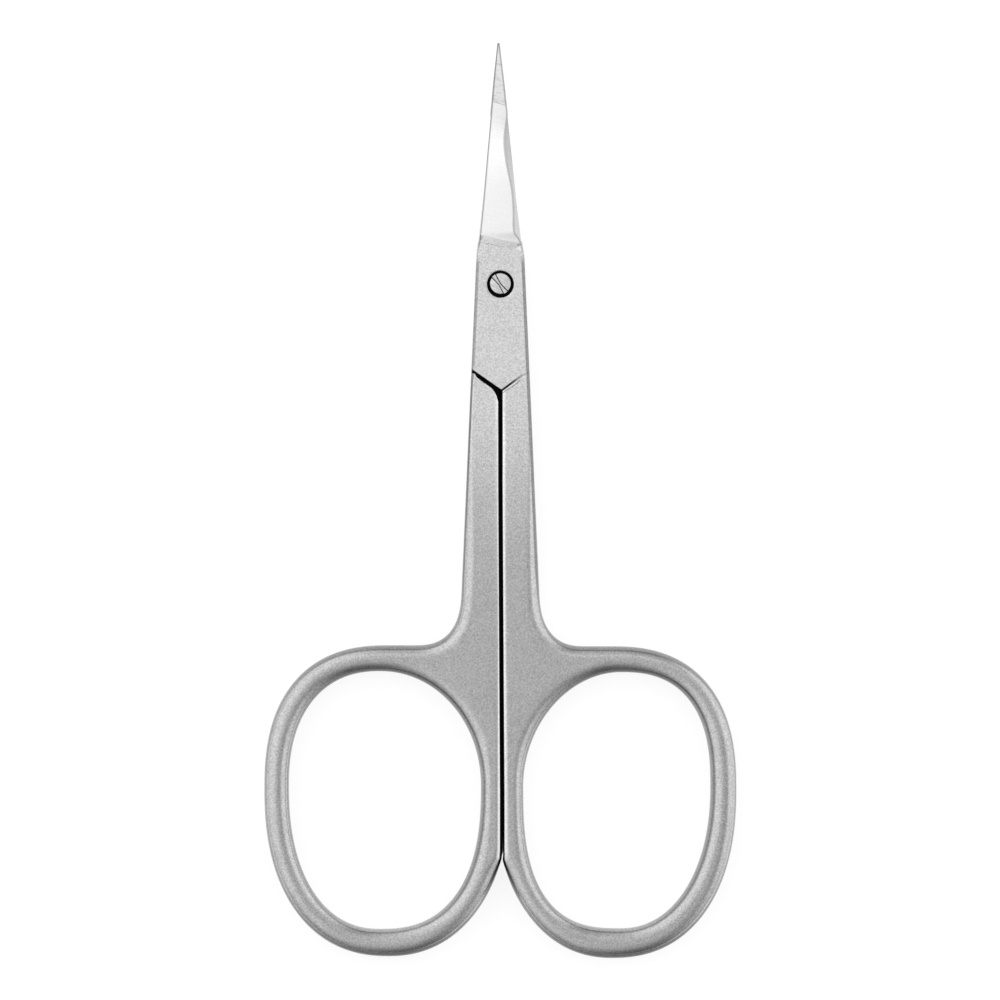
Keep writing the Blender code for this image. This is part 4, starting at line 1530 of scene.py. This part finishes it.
@dataclass
class Studio:
    """Pale floor, soft boxes, world and the camera that looks straight down."""

    camera_height: float = 1.20
    frame_width: float = 0.10
    frame_middle: tuple = (-0.00004, 0.000095, 0.0016)
    sensor: float = 36.0
    clip: tuple = (0.01, 10.0)
    floor_half: float = 1.5
    floor_drop: float = 0.00002
    floor_tone: float = 0.25
    floor_white: float = 0.85
    gap_middle: float = -0.0115
    gap_half: tuple = (0.0012, 0.0240)
    zenith: float = 0.48
    sides: float = 1.18
    front: float = 0.28
    strip_middle: float = 0.20
    strip_edge: tuple = (0.05, 0.45)
    lobe_rise: tuple = (-0.05, 0.20)
    lobe_fall: tuple = (0.35, 0.75)
    lobe_share: float = 0.35
    horizon: tuple = (0.7, 0.92)
    lamps: tuple = (
        Lamp("plate_box", (0.0, 0.038, 0.077), (0.0, 0.038, 0.0), (0.20, 0.070), 0.058),
        Lamp("blade_box", (0.040, 0.015, 0.069), (0.0, 0.036, 0.003), (0.06, 0.05), 0.040),
    )

    def camera(self) -> None:
        """Camera whose view is frame_width wide at the middle of the object's thickness."""
        data = bpy.data.cameras.new("camera")
        camera = add_object("camera", data)
        x, y, z = self.frame_middle
        camera.location = (x, y, self.camera_height)
        data.sensor_width = self.sensor
        data.lens = self.sensor * (self.camera_height - z) / self.frame_width
        data.clip_start, data.clip_end = self.clip
        bpy.context.scene.camera = camera

    def floor(self) -> None:
        """Floor that is white to the eye and to reflections, and still takes the shadow.

        The strip under the closed gap is left out of the reflections, as no light gets there.
        """
        half, z = self.floor_half, -self.floor_drop
        mesh = bpy.data.meshes.new("floor")
        corners = [(-half, -half, z), (half, -half, z), (half, half, z), (-half, half, z)]
        mesh.from_pydata(corners, [], [(0, 1, 2, 3)])
        floor = add_object("floor", mesh)
        material = bpy.data.materials.new("floor_paper")
        sheet = Sheet(material)
        ray, axes = sheet.node("ShaderNodeLightPath"), sheet.axes("Object")
        across = axes.out(0).away() / self.gap_half[0]
        along = (axes.out(1) - self.gap_middle).away() / self.gap_half[1]
        lit = across.highest(along).ramp(0.9, 1.1)
        seen = ray.out("Is Camera Ray").highest(ray.out("Is Glossy Ray") * lit)
        seen = seen.highest(ray.out("Is Transmission Ray"))
        tone = (self.floor_tone,) * 3 + (1.0,)
        matt = sheet.node("ShaderNodeBsdfDiffuse", None, {"Color": tone})
        white = sheet.node("ShaderNodeEmission", None, {"Strength": seen * self.floor_white})
        both = sheet.node("ShaderNodeAddShader", None, {0: matt, 1: white})
        sheet.node("ShaderNodeOutputMaterial", None, {"Surface": both})
        mesh.materials.append(material)

    def world(self) -> None:
        """Soft room light by the direction (x, y, z) it comes from, white where the camera looks.

        The light is mix(zenith, sides, s), s rising to both sides of a dark strip on the ceiling
        and in a lower lobe to the back. It fades to the front, and towards the horizon to the
        shares of self.horizon, the first on the left and the second on the right.
        """
        world = bpy.data.worlds.new("studio")
        bpy.context.scene.world = world
        sheet = Sheet(world)
        axes = sheet.axes("Generated")
        x, y, z = (axes.out(i) for i in range(3))
        lobe = y.ramp(*self.lobe_rise) * (1.0 - y.ramp(*self.lobe_fall)) * self.lobe_share
        side = (x - self.strip_middle).away().ramp(*self.strip_edge).highest(lobe)
        light = lerp(self.zenith, self.sides, side) * lerp(self.front, 1.0, y.ramp(-1.0, 0.1))
        low = lerp(*self.horizon, x.ramp(-0.2, 0.6))
        light = light * (low + z.ramp(0.0, 0.6) * (1.0 - low))
        seen = sheet.node("ShaderNodeLightPath").out("Is Camera Ray")
        background = sheet.node("ShaderNodeBackground", None, {
            "Color": (1.0, 1.0, 1.0, 1.0), "Strength": light + seen * (1.0 - light)})
        sheet.node("ShaderNodeOutputWorld", None, {"Surface": background})

    def build(self) -> None:
        """Set up camera, floor, world and lamps."""
        bpy.context.scene.view_settings.view_transform = "Standard"
        self.camera()
        self.floor()
        self.world()
        for lamp in self.lamps:
            lamp.build()


# Assembly


def main() -> None:
    """Build the studio and the three pieces."""
    logging.basicConfig(level=logging.INFO, format="%(message)s")
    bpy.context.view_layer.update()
    Studio().build()
    front_ring = RingSizes(9.72 * MM, 8.98 * MM, 11.36 * MM, 14.24 * MM, 2.61 * MM, 2.98 * MM,
                           0.17 * MM, (1.94, 2.52, 2.15, 2.74))
    back_ring = RingSizes(10.04 * MM, 9.15 * MM, 11.46 * MM, 14.30 * MM, 2.46 * MM, 2.74 * MM,
                          -0.17 * MM, (2.02, 2.31, 2.26, 2.47))
    for half, ring in ((Half.BACK, back_ring), (Half.FRONT, front_ring)):
        piece = Forging(half, ring).build()
        piece.data.materials.append(SatinSteel(half.finish).material())
        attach(piece, half.body)
        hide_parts(half.node)
        LOG.info("%s: %d points", piece.name, len(piece.data.vertices))
    screw = PivotScrew().build()
    screw.data.materials.append(TurnedSteel("screw_steel").material())
    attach(screw, "back")
    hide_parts("pivot_screw")
    LOG.info("%s: %d points", screw.name, len(screw.data.vertices))


if __name__ == "__main__":
    main()
